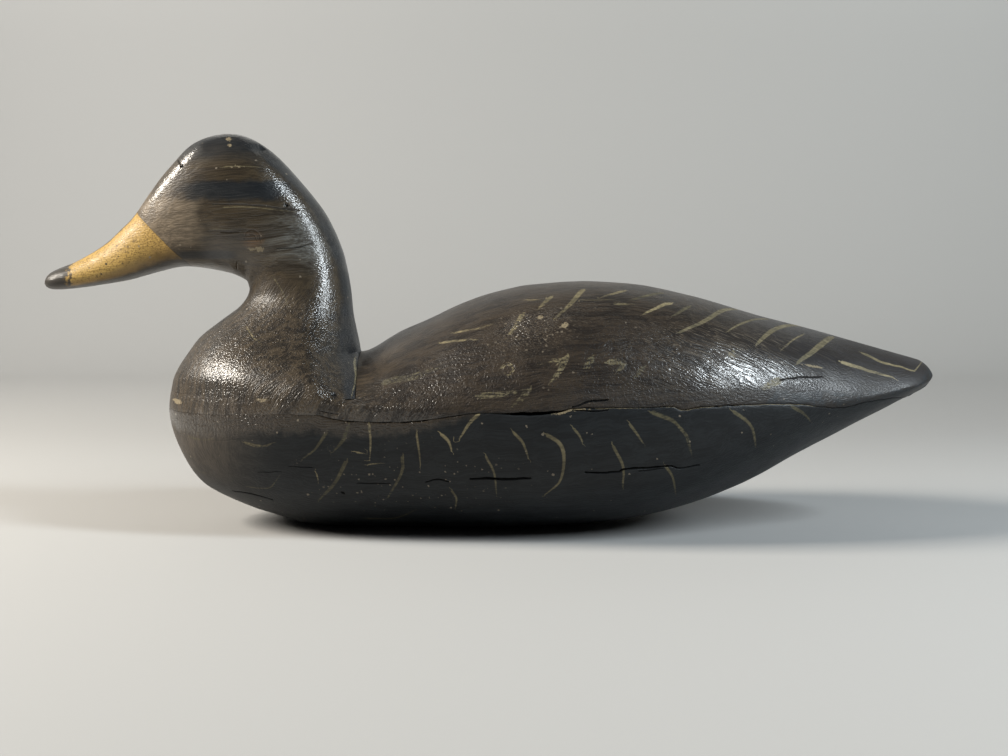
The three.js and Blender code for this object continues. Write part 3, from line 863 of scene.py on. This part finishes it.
def markPiece(piece, marks, seed):
    share = cutInto(piece, marks["cuts"], seed)
    points, unrolled = np.empty((2, len(piece.data.vertices) * 3))
    piece.data.vertices.foreach_get("co", points)
    piece.data.attributes["unrolled"].data.foreach_get("vector", unrolled)
    points = points.reshape(-1, 3) / millimetre
    unrolled = unrolled.reshape(-1, 3)
    strokeOver(piece, marks, seed, unrolled, points)
    x, fromEdge = unrolled[:, 0], unrolled[:, 1]
    near, there = sidesOf(piece, unrolled, points)["near"]
    worn = patchesOver(marks["worn"], near, there)
    hatched = patchesOver(marks["hatched"], near, there)
    if piece is headBlock:
        x, _, z = points.T
        bill = np.where(z > marks["billFoot"], marks["billEdge"](z) - x, -9)
        middle, lean = marks["neckLean"]
        neck = smoothStep(*marks["neckZ"], z) * smoothStep(*marks["neckX"], x + (z - middle) * lean)
        breast = smoothStep(*marks["breastZ"], z) * (1 - neck)
        addVectors(piece, "coat", bill, neck, breast)
        behind = x - head["napeEdge"](z)
        # Behind the nape's edge the head gets painted shade, dark and bluish, on the rear face that turns
        # away from the lamps; the same share dulls the varnish there.
        darkest, reach = marks["napeShade"]
        nape = darkest * smoothStep(0, reach, behind)
        # The painted sheen's patch, kept off the nape's painted shade.
        sheen = patchesOver(marks["sheen"], near, True) * (1 - nape)
        before, width, top = marks["napeRidge"]
        ridge = np.maximum(ridgeRelief(points), np.exp(-((behind + before) / width) ** 2) * (z < top))
        addVectors(piece, "nape", nape, sheen, ridge)
    else:
        fromEdge = np.minimum(fromEdge, unrolled[:, 2] - fromEdge)
        second = bellyPaintTop(x) - fromEdge if piece is upperBoard else brownPaintFoot(x) - fromEdge
        rough = wrinkled(x, fromEdge) if piece is upperBoard else smoothStep(-5, 3, second)
        addVectors(piece, "coat", second, rough, fromEdge)
    addVectors(piece, "marks", share, worn, hatched)


markPiece(headBlock, headMarks, 21)
markPiece(upperBoard, upperMarks, 31)
markPiece(lowerBoard, lowerMarks, 41)
for piece in pieces:
    print("marked:", piece.name, len(piece.data.vertices), "points")


# The node tree that the helpers below add to, and its places in millimetres. Every effect and paint
# sets its own.
drawing = {}


def giveTo(sockets, values):
    for name, value in values.items():
        socket = sockets[name]
        if isinstance(value, bpy.types.NodeSocket):
            drawing["tree"].links.new(value, socket)
        else:
            socket.default_value = (*value, 1) if socket.type == "RGBA" else value


# Adds a node and gives back its outputs.
def node(kind, inputs, **settings):
    made = drawing["tree"].nodes.new("ShaderNode" + kind)
    for name, value in settings.items():
        setattr(made, name, value)
    giveTo(made.inputs, inputs)
    return made.outputs


def maths(operation, *values):
    return node("Math", dict(enumerate(values)), operation=operation)[0]


def vectorMaths(operation, *values):
    return node("VectorMath", dict(enumerate(values)), operation=operation)[0]


def together(*values):
    return node("CombineXYZ", dict(enumerate(values)))[0]


def apart(vector):
    return node("SeparateXYZ", {0: vector})


# 0 below low, 1 above high and smooth between them, or from one value to another.
def spread(value, low, high, bottom=0, top=1):
    ends = {"Value": value, "From Min": low, "From Max": high, "To Min": bottom, "To Max": top}
    return node("MapRange", ends, interpolation_type="SMOOTHSTEP")[0]


def times(*values):
    return reduce(lambda first, second: maths("MULTIPLY", first, second), values)


def largest(*values):
    return reduce(lambda first, second: maths("MAXIMUM", first, second), values)


def timesPlus(value, factor, more):
    return maths("MULTIPLY_ADD", value, factor, more)


def rest(value):
    return maths("SUBTRACT", 1, value)


# 1 in the middle of a stretch of values and 0 outside it, with soft ends.
def between(value, low, high, soft):
    return times(spread(value, low - soft, low + soft), spread(value, high + soft, high - soft))


def mixed(share, first, second):
    return node("Mix", {0: share, 2: first, 3: second})[0]


def mixedColour(share, first, second):
    return node("Mix", {0: share, 6: first, 7: second}, data_type="RGBA")[2]


# A colour with others laid over it one after another, each by its share.
def layered(colour, *coats):
    for share, coat in coats:
        colour = mixedColour(share, colour, coat)
    return colour


# Places measured in a size, which is one number or one for each axis, and moved along by a seed.
def scaled(places, size, seed):
    size = size if isinstance(size, bpy.types.NodeSocket) else (size,) * 3
    return vectorMaths("ADD", vectorMaths("DIVIDE", places, size), seed)


def cloud(places, scale, detail, rough=0.5):
    return node("TexNoise", {"Vector": places, "Scale": scale, "Detail": detail, "Roughness": rough})


seedSteps = (7.3, 3.1, 5.7)


# Noise with lumps of the given size in millimetres.
def noise(size, seed, detail=2, rough=0.5):
    moved = scaled(drawing["places"], size, tuple(seed * step for step in seedSteps))
    return cloud(moved, 1, detail, rough)[0]


# A value pushed up and down by noise of the given height.
def ragged(value, size, height, seed):
    return maths("ADD", value, timesPlus(noise(size, seed, 3, 0.6), 2 * height, -height))


effects = {}


# Makes a node group from a function that takes the group's inputs and gives its outputs back by name.
# Each input comes with its first value, and None stands for a vector.
def newEffect(build, **inputs):
    group = bpy.data.node_groups.new(build.__name__, "ShaderNodeTree")
    for label, value in {"places": None, **inputs}.items():
        kind = "Vector" if value is None else "Color" if isinstance(value, tuple) else "Float"
        socket = group.interface.new_socket(
            label.capitalize(), in_out="INPUT", socket_type="NodeSocket" + kind)
        if value is not None:
            socket.default_value = (*value, 1) if kind == "Color" else value
    given = group.nodes.new("NodeGroupInput").outputs
    drawing.update(tree=group, places=given["Places"])
    made = build(*[given[label.capitalize()] for label in inputs])
    for label in made:
        kind = "Color" if label == "Colour" else "Float"
        group.interface.new_socket(label, in_out="OUTPUT", socket_type="NodeSocket" + kind)
    giveTo(group.nodes.new("NodeGroupOutput").inputs, made)
    effects[build.__name__] = group


# Places an effect in the tree, over the tree's own places.
def effect(name, **inputs):
    values = {label.capitalize(): value for label, value in inputs.items()}
    return node("Group", {"Places": drawing["places"], **values}, node_tree=effects[name])


# Streaks that a stiff brush or a wood grain leaves, rising to the right by the tilt.
def brushMarks(tilt, length, width, waver, seed):
    bend = vectorMaths("SUBTRACT", cloud(drawing["places"], 0.07, 1)["Color"], (0.5, 0.5, 0.5))
    bend = node("VectorMath", {0: bend, "Scale": waver}, operation="SCALE")[0]
    bent = vectorMaths("ADD", drawing["places"], bend)
    turned = node("VectorRotate", {"Vector": bent, "Angle": tilt}, rotation_type="Y_AXIS")[0]
    moved = scaled(turned, together(length, width, width), together(seed, seed))
    fine, broad = cloud(moved, 1, 1.5)[0], cloud(moved, 0.23, 1.5)[0]
    return {"Height": spread(fine, 0.3, 0.7), "Tone": spread(broad, 0.32, 0.68)}


# Old paint that has shrunk into small scales with wrinkles between them.
def paintCrackle(size, seed):
    moved = scaled(drawing["places"], together(size, size, size), together(seed, 0, seed))
    warped = vectorMaths("MULTIPLY_ADD", cloud(moved, 0.9, 2)["Color"], (1.3, 1.3, 1.3), moved)
    cells = node("TexVoronoi", {"Vector": warped, "Scale": 1}, feature="DISTANCE_TO_EDGE")["Distance"]
    height = mixed(0.45, spread(cells, 0, 0.4), cloud(moved, 1.6, 1.5)[0])
    return {"Height": height, "Groove": spread(cells, 0.1, 0)}


# The relief of the thick upper paint: streaks along, hatched down to the right, combed up to the right or
# upright, with wrinkles over them. Every piece takes the same one, so that it runs on over the joints.
def brushedRelief(hatch, comb, upright, wrinkle, waver, size):
    streak = effect("brushMarks", tilt=0.08, length=14, width=0.7, waver=waver, seed=1)
    height, tone = streak["Height"], streak["Tone"]
    kinds = [(hatch, -0.5, 18, 0.95), (comb, 0.98, 7, 0.7), (upright, 1.47, 8, 0.8)]
    for share, tilt, length, width in kinds:
        streak = effect("brushMarks", tilt=tilt, length=length, width=width, waver=waver, seed=tilt)
        height = mixed(share, height, streak["Height"])
        tone = mixed(share, tone, streak["Tone"])
    crackle = effect("paintCrackle", size=size, seed=3)
    heavy = mixed(timesPlus(hatch, 0.4, 0.42), crackle["Height"], height)
    light = timesPlus(height, 0.22, 0.39)
    return {"Height": mixed(wrinkle, light, heavy), "Tone": mixed(0.5, tone, height),
            "Groove": times(crackle["Groove"], wrinkle)}


# Small flecks where the paint has chipped or something pale has stuck to it.
def agedSpecks(size, share, seed):
    moved = scaled(drawing["places"], together(size, size, size), together(seed, seed))
    warped = vectorMaths("MULTIPLY_ADD", cloud(moved, 4, 1)["Color"], (0.35, 0.35, 0.35), moved)
    cells = node("TexVoronoi", {"Vector": warped, "Scale": 1})
    draw = node("SeparateColor", {0: cells["Color"]})
    radius = timesPlus(draw[1], 0.22, 0.06)
    inside = spread(maths("SUBTRACT", radius, cells["Distance"]), -0.03, 0.05)
    return {"Mask": times(inside, maths("LESS_THAN", draw[0], share))}


featherColours = {"dark": (0.075, 0.067, 0.036), "pale": (0.3, 0.25, 0.14), "under": (0.03, 0.026, 0.018)}


# A feather edge pulled over the dark paint with a nearly dry brush: it catches on what stands proud.
def featherPaint(across, look, relief):
    aside, half, near = apart(across)
    along, pale, dry = apart(look)
    inside = maths("SUBTRACT", ragged(half, 0.8, 0.22, 1), maths("ABSOLUTE", aside))
    inside = times(spread(inside, -0.22, 0.3), maths("GREATER_THAN", near, 0.4))
    bristles = cloud(together(maths("DIVIDE", along, 9), maths("DIVIDE", aside, 0.4)), 1, 2)[0]
    caught = timesPlus(relief, 0.7, mixed(0.45, bristles, noise(2.4, 2, 3, 0.65)))
    caught = spread(maths("SUBTRACT", caught, timesPlus(dry, 0.75, 0.42)), -0.14, 0.2)
    tone = spread(ragged(pale, 2.4, 0.4, 2), 0, 1)
    colour = mixedColour(tone, featherColours["dark"], featherColours["pale"])
    return {"Mask": times(inside, caught, 0.85), "Colour": colour}


ageColours = {
    "dirt": (0.006, 0.005, 0.005),
    "speck": (0.22, 0.185, 0.14),
    "darkWood": (0.085, 0.06, 0.035),
    "paleWood": (0.33, 0.275, 0.17),
    "crack": (0.002, 0.002, 0.002),
}


# What age does to a coat of paint: its colour wanders, dirt lies in the wrinkles, chips show the wood.
def agedCoat(colour, deep, tone, groove, specks, worn, crack, roughness):
    colour = mixedColour(tone, deep, colour)
    dirty = mixedColour(0.65, colour, ageColours["dirt"])
    bare = spread(ragged(worn, 1.1, 0.75, 5), 0.5, 0.72)
    bare = times(bare, maths("GREATER_THAN", worn, 0.02))
    wood = mixedColour(noise(0.7, 6, 3), ageColours["darkWood"], ageColours["paleWood"])
    cracked = spread(crack, 0.2, 0.8)
    colour = layered(
        colour, (times(groove, 0.6), dirty), (times(specks, 0.8), ageColours["speck"]),
        (times(bare, 0.9), wood), (cracked, ageColours["crack"]))
    rough = ragged(timesPlus(groove, 0.1, roughness), 5, 0.06, 7)
    return {"Colour": colour, "Roughness": timesPlus(cracked, 0.4, timesPlus(bare, 0.25, rough))}


newEffect(brushMarks, tilt=0.0, length=12.0, width=1.0, waver=1.0, seed=0.0)
newEffect(paintCrackle, size=1.6, seed=0.0)
newEffect(brushedRelief, hatch=0.0, comb=0.0, upright=0.0, wrinkle=1.0, waver=6.0, size=2.0)
newEffect(agedSpecks, size=3.0, share=0.2, seed=0.0)
newEffect(featherPaint, across=None, look=None, relief=0.5)
newEffect(agedCoat, colour=(0.03, 0.025, 0.02), deep=(0.015, 0.012, 0.01), tone=0.5, groove=0.0, specks=0.0,
          worn=0.0, crack=0.0, roughness=0.4)


# Something that markPiece stored on the mesh.
def attribute(name):
    return node("Attribute", {}, attribute_name=name)["Vector"]


def specks(size, share, seed):
    return effect("agedSpecks", size=size, share=share, seed=seed)["Mask"]


# The pale feather strokes, laid over a paint and its darker tone.
def painted(relief, colour, deep):
    feather = effect("featherPaint", across=attribute("stroke"), look=attribute("strokeLook"), relief=relief)
    mask, stroke = feather["Mask"], feather["Colour"]
    darker = mixedColour(0.5, stroke, featherColours["under"])
    return mixedColour(mask, colour, stroke), mixedColour(mask, deep, darker), mask


def newPaint(name):
    material = bpy.data.materials.new(name)
    material.use_nodes = True
    drawing["tree"] = material.node_tree
    places = node("TexCoord", {})["Object"]
    drawing["places"] = node("VectorMath", {0: places, "Scale": 1 / millimetre}, operation="SCALE")[0]
    return material


# Joins the aged colour, the roughness, the height of the paint (0 to 1 over its thickness) and the
# varnish left on it to the shader.
def finishPaint(look, height, gloss, **coat):
    aged = effect("agedCoat", **coat)
    bump = node("Bump", {"Height": height, "Strength": 1, "Distance": look["thickness"] * millimetre})[0]
    giveTo(drawing["tree"].nodes["Principled BSDF"].inputs, {
        "Base Color": aged["Colour"], "Roughness": aged["Roughness"], "Normal": bump, "Coat Normal": bump,
        "Coat Weight": gloss, "Coat Roughness": look["coatRoughness"], "Specular IOR Level": look["gloss"]})


# Zones are in millimetres: where a change starts and ends, or low, high and softness. A zone's name ends
# in its axis, or in Up for the distance over the surface from the joint edge.
headLook = {
    "brown": (0.068, 0.05, 0.029),
    "deepBrown": (0.028, 0.021, 0.014),
    "breast": (0.058, 0.043, 0.027),
    "deepBreast": (0.014, 0.011, 0.008),
    # The cheek front's taupe is partly worn, dusty paint and partly a painted sheen.
    "taupeAndSheen": (0.24, 0.19, 0.135),
    # The bluish tones darken the head's bands and paint the shade on the nape.
    "bluish": (0.021, 0.023, 0.025),
    "deepBlue": (0.013, 0.015, 0.018),
    "bill": (0.45, 0.29, 0.085),
    "deepBill": (0.2, 0.125, 0.035),
    "billDark": (0.03, 0.026, 0.021),
    "knot": (0.17, 0.095, 0.045),
    # The grey of the painted sheen on the rear cheek.
    "sheenGrey": (0.19, 0.195, 0.185),
    "billShade": (0.12, 0.07, 0.026),
    "gloss": 0.28,
    "roughness": 0.38,
    "dullRoughness": 0.5,
    "coatRoughness": 0.13,
    "thickness": 0.3,
    "wrinkleSize": 1.25,
    "bandLength": 60,
    "bandHeight": 9,
    "footZ": (122, 92),
    "darkBandZ": (154.5, 164.5, 3),
    "darkBandX": (-146, -92, 12),
    "crownZ": (163, 181),
    "jawZ": (127, 132, 1.5),
    "jawX": (-149, -119, 5),
    "cheekZ": (133, 157, 4),
    "cheekX": (-170, -137, 7),
    "billTipX": (-199.5, -202.5),
    "fleckedX": (-158, -185),
    "billRootX": (-206, -190),
    "frontX": (-128, -140),
    "frontZ": (120, 130),
    "breastX": (-130, -110, 5),
    "breastZ": (60, 90, 7),
    "neckZ": (128, 118),
}


# The head's colour runs along it in bands: darker, bluer ones, painted shade on the nape, and a lighter
# one on the cheek's front that is partly worn paint, partly a painted sheen.
def headPaint():
    material = newPaint("headPaint")
    look = headLook
    bill, neck, breast = apart(attribute("coat"))
    crack, worn, knot = apart(attribute("marks"))
    x, z, over = apart(attribute("unrolled"))
    nape, sheen, ridge = apart(attribute("nape"))
    foot = spread(z, *look["footZ"])
    relief = effect("brushedRelief", comb=neck, upright=breast, waver=timesPlus(foot, 4.5, 1.5),
                    size=look["wrinkleSize"], wrinkle=timesPlus(foot, 0.75, 0.12))
    bands = together(maths("DIVIDE", x, look["bandLength"]), 0, maths("DIVIDE", z, look["bandHeight"]))
    bands = cloud(bands, 1, 2)[0]
    band = times(between(ragged(z, 9, 3, 14), *look["darkBandZ"]), between(x, *look["darkBandX"]))
    jaw = times(between(z, *look["jawZ"]), between(x, *look["jawX"]), 0.7)
    # Darker and bluer: a band across the head, the crown, the jaw, and the nape, where it is painted shade.
    darkBandsAndNapeShade = largest(band, nape, spread(z, *look["crownZ"], 0, 0.8), jaw)
    darkBandsAndNapeShade = spread(maths("ADD", darkBandsAndNapeShade, timesPlus(bands, 0.8, -0.45)), 0.2, 0.9)
    # The cheek's front is lighter: partly worn, dusty paint, partly a painted sheen.
    light = times(between(ragged(z, 7, 5, 12), *look["cheekZ"]),
                  between(ragged(x, 9, 8, 13), *look["cheekX"]))
    tone = spread(mixed(spread(foot, 0, 1, 0.5, 0.1), relief["Tone"], bands), 0.2, 0.8)
    # Painted sheen: the rear cheek is made lighter and greyer, broken by fine brush lines.
    scratches = effect("brushMarks", tilt=0.12, length=12, width=0.4, waver=2, seed=9)["Height"]
    paintedSheen = times(sheen, spread(scratches, 0.2, 0.8, 0.4, 1), 0.9)
    # The bill has its own paint, with a dark tip, dark edges and flecks. It darkens towards its underside in
    # painted shade, and its lower dark edge is partly painted shade, partly dark paint.
    onBill = spread(ragged(bill, 1.2, 0.35, 8), -0.15, 0.15)
    tip = spread(ragged(x, 2.5, 6, 9), *look["billTipX"])
    edge = ragged(over, 5, 0.05, 10)
    dark = largest(tip, spread(edge, 0.85, 0.92), spread(edge, 0.36, 0.24))
    # Painted shade: a brown darkening over the bill's lower part.
    shade = times(spread(ragged(over, 5, 0.1, 11), 0.52, 0.3), 0.75)
    flecks = times(specks(2.5, 0.4, 33), spread(x, *look["fleckedX"], 0.3, 0.9))
    billColour = layered(
        look["bill"], (shade, look["billShade"]), (dark, look["billDark"]), (flecks, look["billDark"]))
    deepBill = mixedColour(largest(dark, specks(1.2, 0.35, 5)), look["deepBill"], look["billDark"])
    colour = layered(
        look["brown"], (foot, look["breast"]), (times(light, 0.8), look["taupeAndSheen"]), (darkBandsAndNapeShade, look["bluish"]),
        (paintedSheen, look["sheenGrey"]), (knot, look["knot"]), (onBill, billColour))
    deep = layered(
        look["deepBrown"], (foot, look["deepBreast"]), (times(light, 0.35), look["taupeAndSheen"]),
        (darkBandsAndNapeShade, look["deepBlue"]), (onBill, deepBill))
    tone = mixed(onBill, tone, spread(noise(0.8, 11, 3, 0.7), 0.36, 0.52))
    colour, deep, _ = painted(relief["Height"], colour, deep)
    seamLine = spread(maths("ABSOLUTE", maths("ADD", bill, -0.1)), 0.45, 0.1)
    # The varnish is worn where the head looks dull, and left on the ridges and on the breast.
    front = times(spread(x, *look["frontX"]), spread(z, *look["frontZ"]), 0.97)
    broken = times(ridge, ridge, spread(noise(1.5, 21), 0.36, 0.56, 0.25, 1))
    lit = times(between(x, *look["breastX"]), between(z, *look["breastZ"]),
                spread(relief["Height"], 0.35, 0.54, 0.5, 1))
    dull = largest(
        times(light, 0.9), times(sheen, 0.6), times(onBill, spread(x, *look["billRootX"], 0, 0.6)),
        times(nape, 0.6), times(front, rest(broken)),
        times(spread(z, *look["neckZ"]), rest(largest(lit, ridge)), 0.8))
    finishPaint(
        look, relief["Height"], rest(ragged(dull, 6, 0.2, 19)), colour=colour, deep=deep, tone=tone,
        specks=specks(2.6, 0.05, 6), worn=worn, groove=largest(relief["Groove"], seamLine), crack=crack,
        roughness=mixed(largest(onBill, dull), look["roughness"], look["dullRoughness"]))
    return material


backLook = {
    "brown": (0.036, 0.027, 0.019),
    "deepBrown": (0.014, 0.011, 0.009),
    "breast": (0.058, 0.043, 0.027),
    "deepBreast": (0.018, 0.014, 0.01),
    "slate": (0.018, 0.0165, 0.0175),
    "belly": (0.014, 0.017, 0.02),
    "gloss": 0.4,
    "roughness": 0.38,
    "dullRoughness": 0.55,
    "coatRoughness": 0.13,
    "thickness": 0.26,
    "uprightX": (-91, -129),
    "combedX": (-129, -91),
    "combedEndX": (-5, -35),
    "combedUp": (26, 15),
    "tailX": (95, 150),
    "dullUp": (10, 5),
    "dullX": (10, 60),
    "dullTailX": (160, 178),
    "breastX": (-30, -75),
    "flakedX": (50, 30),
    "shinyX": (-134, -108, 7),
}


def backPaint():
    material = newPaint("backPaint")
    look = backLook
    second, rough, fromEdge = apart(attribute("coat"))
    crack, worn, hatched = apart(attribute("marks"))
    x = apart(attribute("unrolled"))[0]
    comb = times(spread(x, *look["combedX"]), spread(x, *look["combedEndX"]),
                 spread(fromEdge, *look["combedUp"]))
    under = spread(ragged(second, 2, 0.8, 14), -0.4, 0.4)
    relief = effect("brushedRelief", hatch=hatched, comb=comb, upright=spread(x, *look["uprightX"]),
                    wrinkle=times(rough, mixed(under, 1, 0.2)))
    tone = spread(mixed(0.5, relief["Tone"], noise(14, 15, 3)), 0.3, 0.68)
    onBreast = spread(x, *look["breastX"])
    colour = layered(look["brown"], (onBreast, look["breast"]), (spread(x, *look["tailX"]), look["slate"]),
                     (under, look["belly"]))
    deep = mixedColour(onBreast, look["deepBrown"], look["deepBreast"])
    colour, deep, strokes = painted(relief["Height"], colour, deep)
    scratches = effect("brushMarks", tilt=-0.5, length=22, width=0.5, waver=3, seed=5)["Height"]
    pale = largest(
        times(specks(2.2, 0.1, 16), rough, noise(12, 17)),
        times(specks(2.3, 0.6, 18), hatched, spread(x, *look["flakedX"])),
        times(spread(scratches, 0.8, 0.95), hatched, 0.5))
    scored = times(spread(scratches, 0.35, 0.12), hatched)
    # The varnish is left where the paint shines, and its highlights break up along the brush lines.
    dull = largest(times(spread(ragged(fromEdge, 6, 2, 27), *look["dullUp"]), spread(x, *look["dullX"])),
                   spread(ragged(x, 9, 6, 28), *look["dullTailX"]))
    unvarnished = largest(under, dull, strokes)
    shiny = mixed(largest(hatched, comb, between(x, *look["shinyX"])), 0.2, 1)
    shiny = times(shiny, spread(relief["Tone"], 0.36, 0.54, 0.4, 1))
    varnished = times(rough, rest(unvarnished), shiny)
    gloss = spread(ragged(varnished, 6, 0.25, 19), 0, 1, 0.05, 1)
    finishPaint(
        look, relief["Height"], gloss, colour=colour, deep=deep, tone=tone, specks=pale, worn=worn,
        groove=largest(relief["Groove"], scored), crack=crack,
        roughness=mixed(unvarnished, look["roughness"], look["dullRoughness"]))
    return material


bellyLook = {
    "black": (0.012, 0.0145, 0.0165),
    "deepBlack": (0.006, 0.0075, 0.009),
    "brown": (0.04, 0.03, 0.02),
    "deepBrown": (0.026, 0.02, 0.014),
    "dust": (0.075, 0.06, 0.045),
    "gloss": 0.3,
    "roughness": 0.5,
    "brownRoughness": 0.38,
    "coatRoughness": 0.13,
    "thickness": 0.3,
    "breastX": (-104, -128),
    "dustyX": (-92, -135),
    "dustyUp": (52, 20),
}


def bellyPaint():
    material = newPaint("bellyPaint")
    look = bellyLook
    second, rough, fromEdge = apart(attribute("coat"))
    crack, worn, flecked = apart(attribute("marks"))
    x = apart(attribute("unrolled"))[0]
    relief = effect("brushedRelief", upright=spread(x, *look["breastX"]), wrinkle=rough)
    brown = spread(ragged(second, 5, 4, 24), -2.5, 2.5)
    dusty = times(spread(ragged(x, 5, 4, 24), *look["dustyX"]), spread(fromEdge, *look["dustyUp"]))
    tone = spread(mixed(0.5, relief["Tone"], noise(16, 25, 3)), 0.3, 0.7)
    colour = layered(look["black"], (times(dusty, 0.8), look["dust"]), (brown, look["brown"]))
    deep = layered(look["deepBlack"], (times(dusty, 0.45), look["dust"]), (brown, look["deepBrown"]))
    colour, deep, _ = painted(relief["Height"], colour, deep)
    finishPaint(
        look, relief["Height"], times(brown, 0.7), colour=colour, deep=deep, tone=tone,
        specks=largest(specks(2.4, 0.05, 26), times(specks(1.9, 0.25, 29), flecked)), worn=worn,
        groove=relief["Groove"], crack=crack,
        roughness=mixed(brown, look["roughness"], look["brownRoughness"]))
    return material


def sweepPaper():
    material = bpy.data.materials.new("sweepPaper")
    material.use_nodes = True
    look = {"Base Color": studio["sweepColour"], "Roughness": studio["sweepRoughness"]}
    giveTo(material.node_tree.nodes["Principled BSDF"].inputs, look)
    return material


headBlock.data.materials.append(headPaint())
upperBoard.data.materials.append(backPaint())
lowerBoard.data.materials.append(bellyPaint())
print("painted:", ", ".join(piece.data.materials[0].name for piece in pieces))

for piece, (solid, finish) in pieces.items():
    for polygon in piece.data.polygons:
        polygon.use_smooth = True
    piece.data.set_sharp_from_angle(angle=math.radians(carving["smoothAngle"]))
    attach(piece, "root")
    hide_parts(solid)

# The camera of the photograph: its picture is 1008 pixels wide and sees 40 degrees across.
camera = {
    "target": (6.84, 0, 69.9),
    "distance": 676.8,
    "elevation": 4,
    "across": 40,
}


def placeCamera():
    lens = bpy.data.cameras.new("camera")
    lens.sensor_fit = "HORIZONTAL"
    lens.angle = math.radians(camera["across"])
    lens.clip_start = 0.02
    view = bpy.data.objects.new("camera", lens)
    bpy.context.scene.collection.objects.link(view)
    lift = math.radians(camera["elevation"])
    back = Vector((0, -math.cos(lift), math.sin(lift)))
    view.location = (Vector(camera["target"]) + back * camera["distance"]) * millimetre
    view.rotation_euler = (-back).to_track_quat("-Z", "Y").to_euler()
    bpy.context.scene.camera = view


placeCamera()

# The light of the photograph: a soft lamp at each side, two washes on the paper behind and a faint pale room.
# A lamp is where it stands, where it aims, how large it is, its power and its colour.
studio = {
    "lamps": {
        "left lamp": ((-1.02, -0.12, 0.72), (0, 0, 0.07), (0.38, 0.5), 28, (1, 0.93, 0.83)),
        "right lamp": ((0.88, -0.42, 0.68), (0, 0, 0.07), (0.18, 0.6), 14.5, (0.87, 0.95, 1)),
        "left wash": ((-0.95, 0.6, 1.1), (-0.85, 1.5, 1), (1, 0.4), 13.5, (1, 0.97, 0.92)),
        "right wash": ((0.95, 0.6, 1.1), (0.85, 1.5, 1), (1, 0.4), 9.5, (0.93, 0.99, 1)),
    },
    "room": (0.98, 1, 1.02),
    "roomStrength": 0.02,
    "sweep": {"front": -2.5, "bend": 1, "radius": 0.5, "top": 3, "half": 3.5},
    "sweepColour": (0.385, 0.385, 0.38),
    "sweepRoughness": 0.9,
}


def lightStudio():
    for name, (at, aim, size, power, colour) in studio["lamps"].items():
        light = bpy.data.lights.new(name, "AREA")
        light.shape = "RECTANGLE"
        light.size, light.size_y = size
        light.energy = power
        light.color = colour
        stand = bpy.data.objects.new(name, light)
        stand.location = at
        stand.rotation_euler = (Vector(aim) - stand.location).to_track_quat("-Z", "Y").to_euler()
        bpy.context.scene.collection.objects.link(stand)
    world = bpy.data.worlds.new("pale room")
    world.use_nodes = True
    background = world.node_tree.nodes["Background"]
    background.inputs["Color"].default_value = (*studio["room"], 1)
    background.inputs["Strength"].default_value = studio["roomStrength"]
    bpy.context.scene.world = world


def laySweep():
    size = studio["sweep"]
    turn = np.linspace(0, math.pi / 2, 25)
    line = [(size["front"], 0)]
    line += [(size["bend"] + size["radius"] * math.sin(a), size["radius"] * (1 - math.cos(a))) for a in turn]
    line.append((size["bend"] + size["radius"], size["top"]))
    points = [(side * size["half"], y, z) for y, z in line for side in (-1, 1)]
    faces = [(2 * i, 2 * i + 1, 2 * i + 3, 2 * i + 2) for i in range(len(line) - 1)]
    mesh = bpy.data.meshes.new("sweep")
    mesh.from_pydata(points, [], faces)
    for polygon in mesh.polygons:
        polygon.use_smooth = True
    mesh.materials.append(sweepPaper())
    sweep = bpy.data.objects.new("sweep", mesh)
    bpy.context.scene.collection.objects.link(sweep)


lightStudio()
laySweep()
bpy.context.scene.view_settings.view_transform = "Standard"
print("camera, light and floor are set")
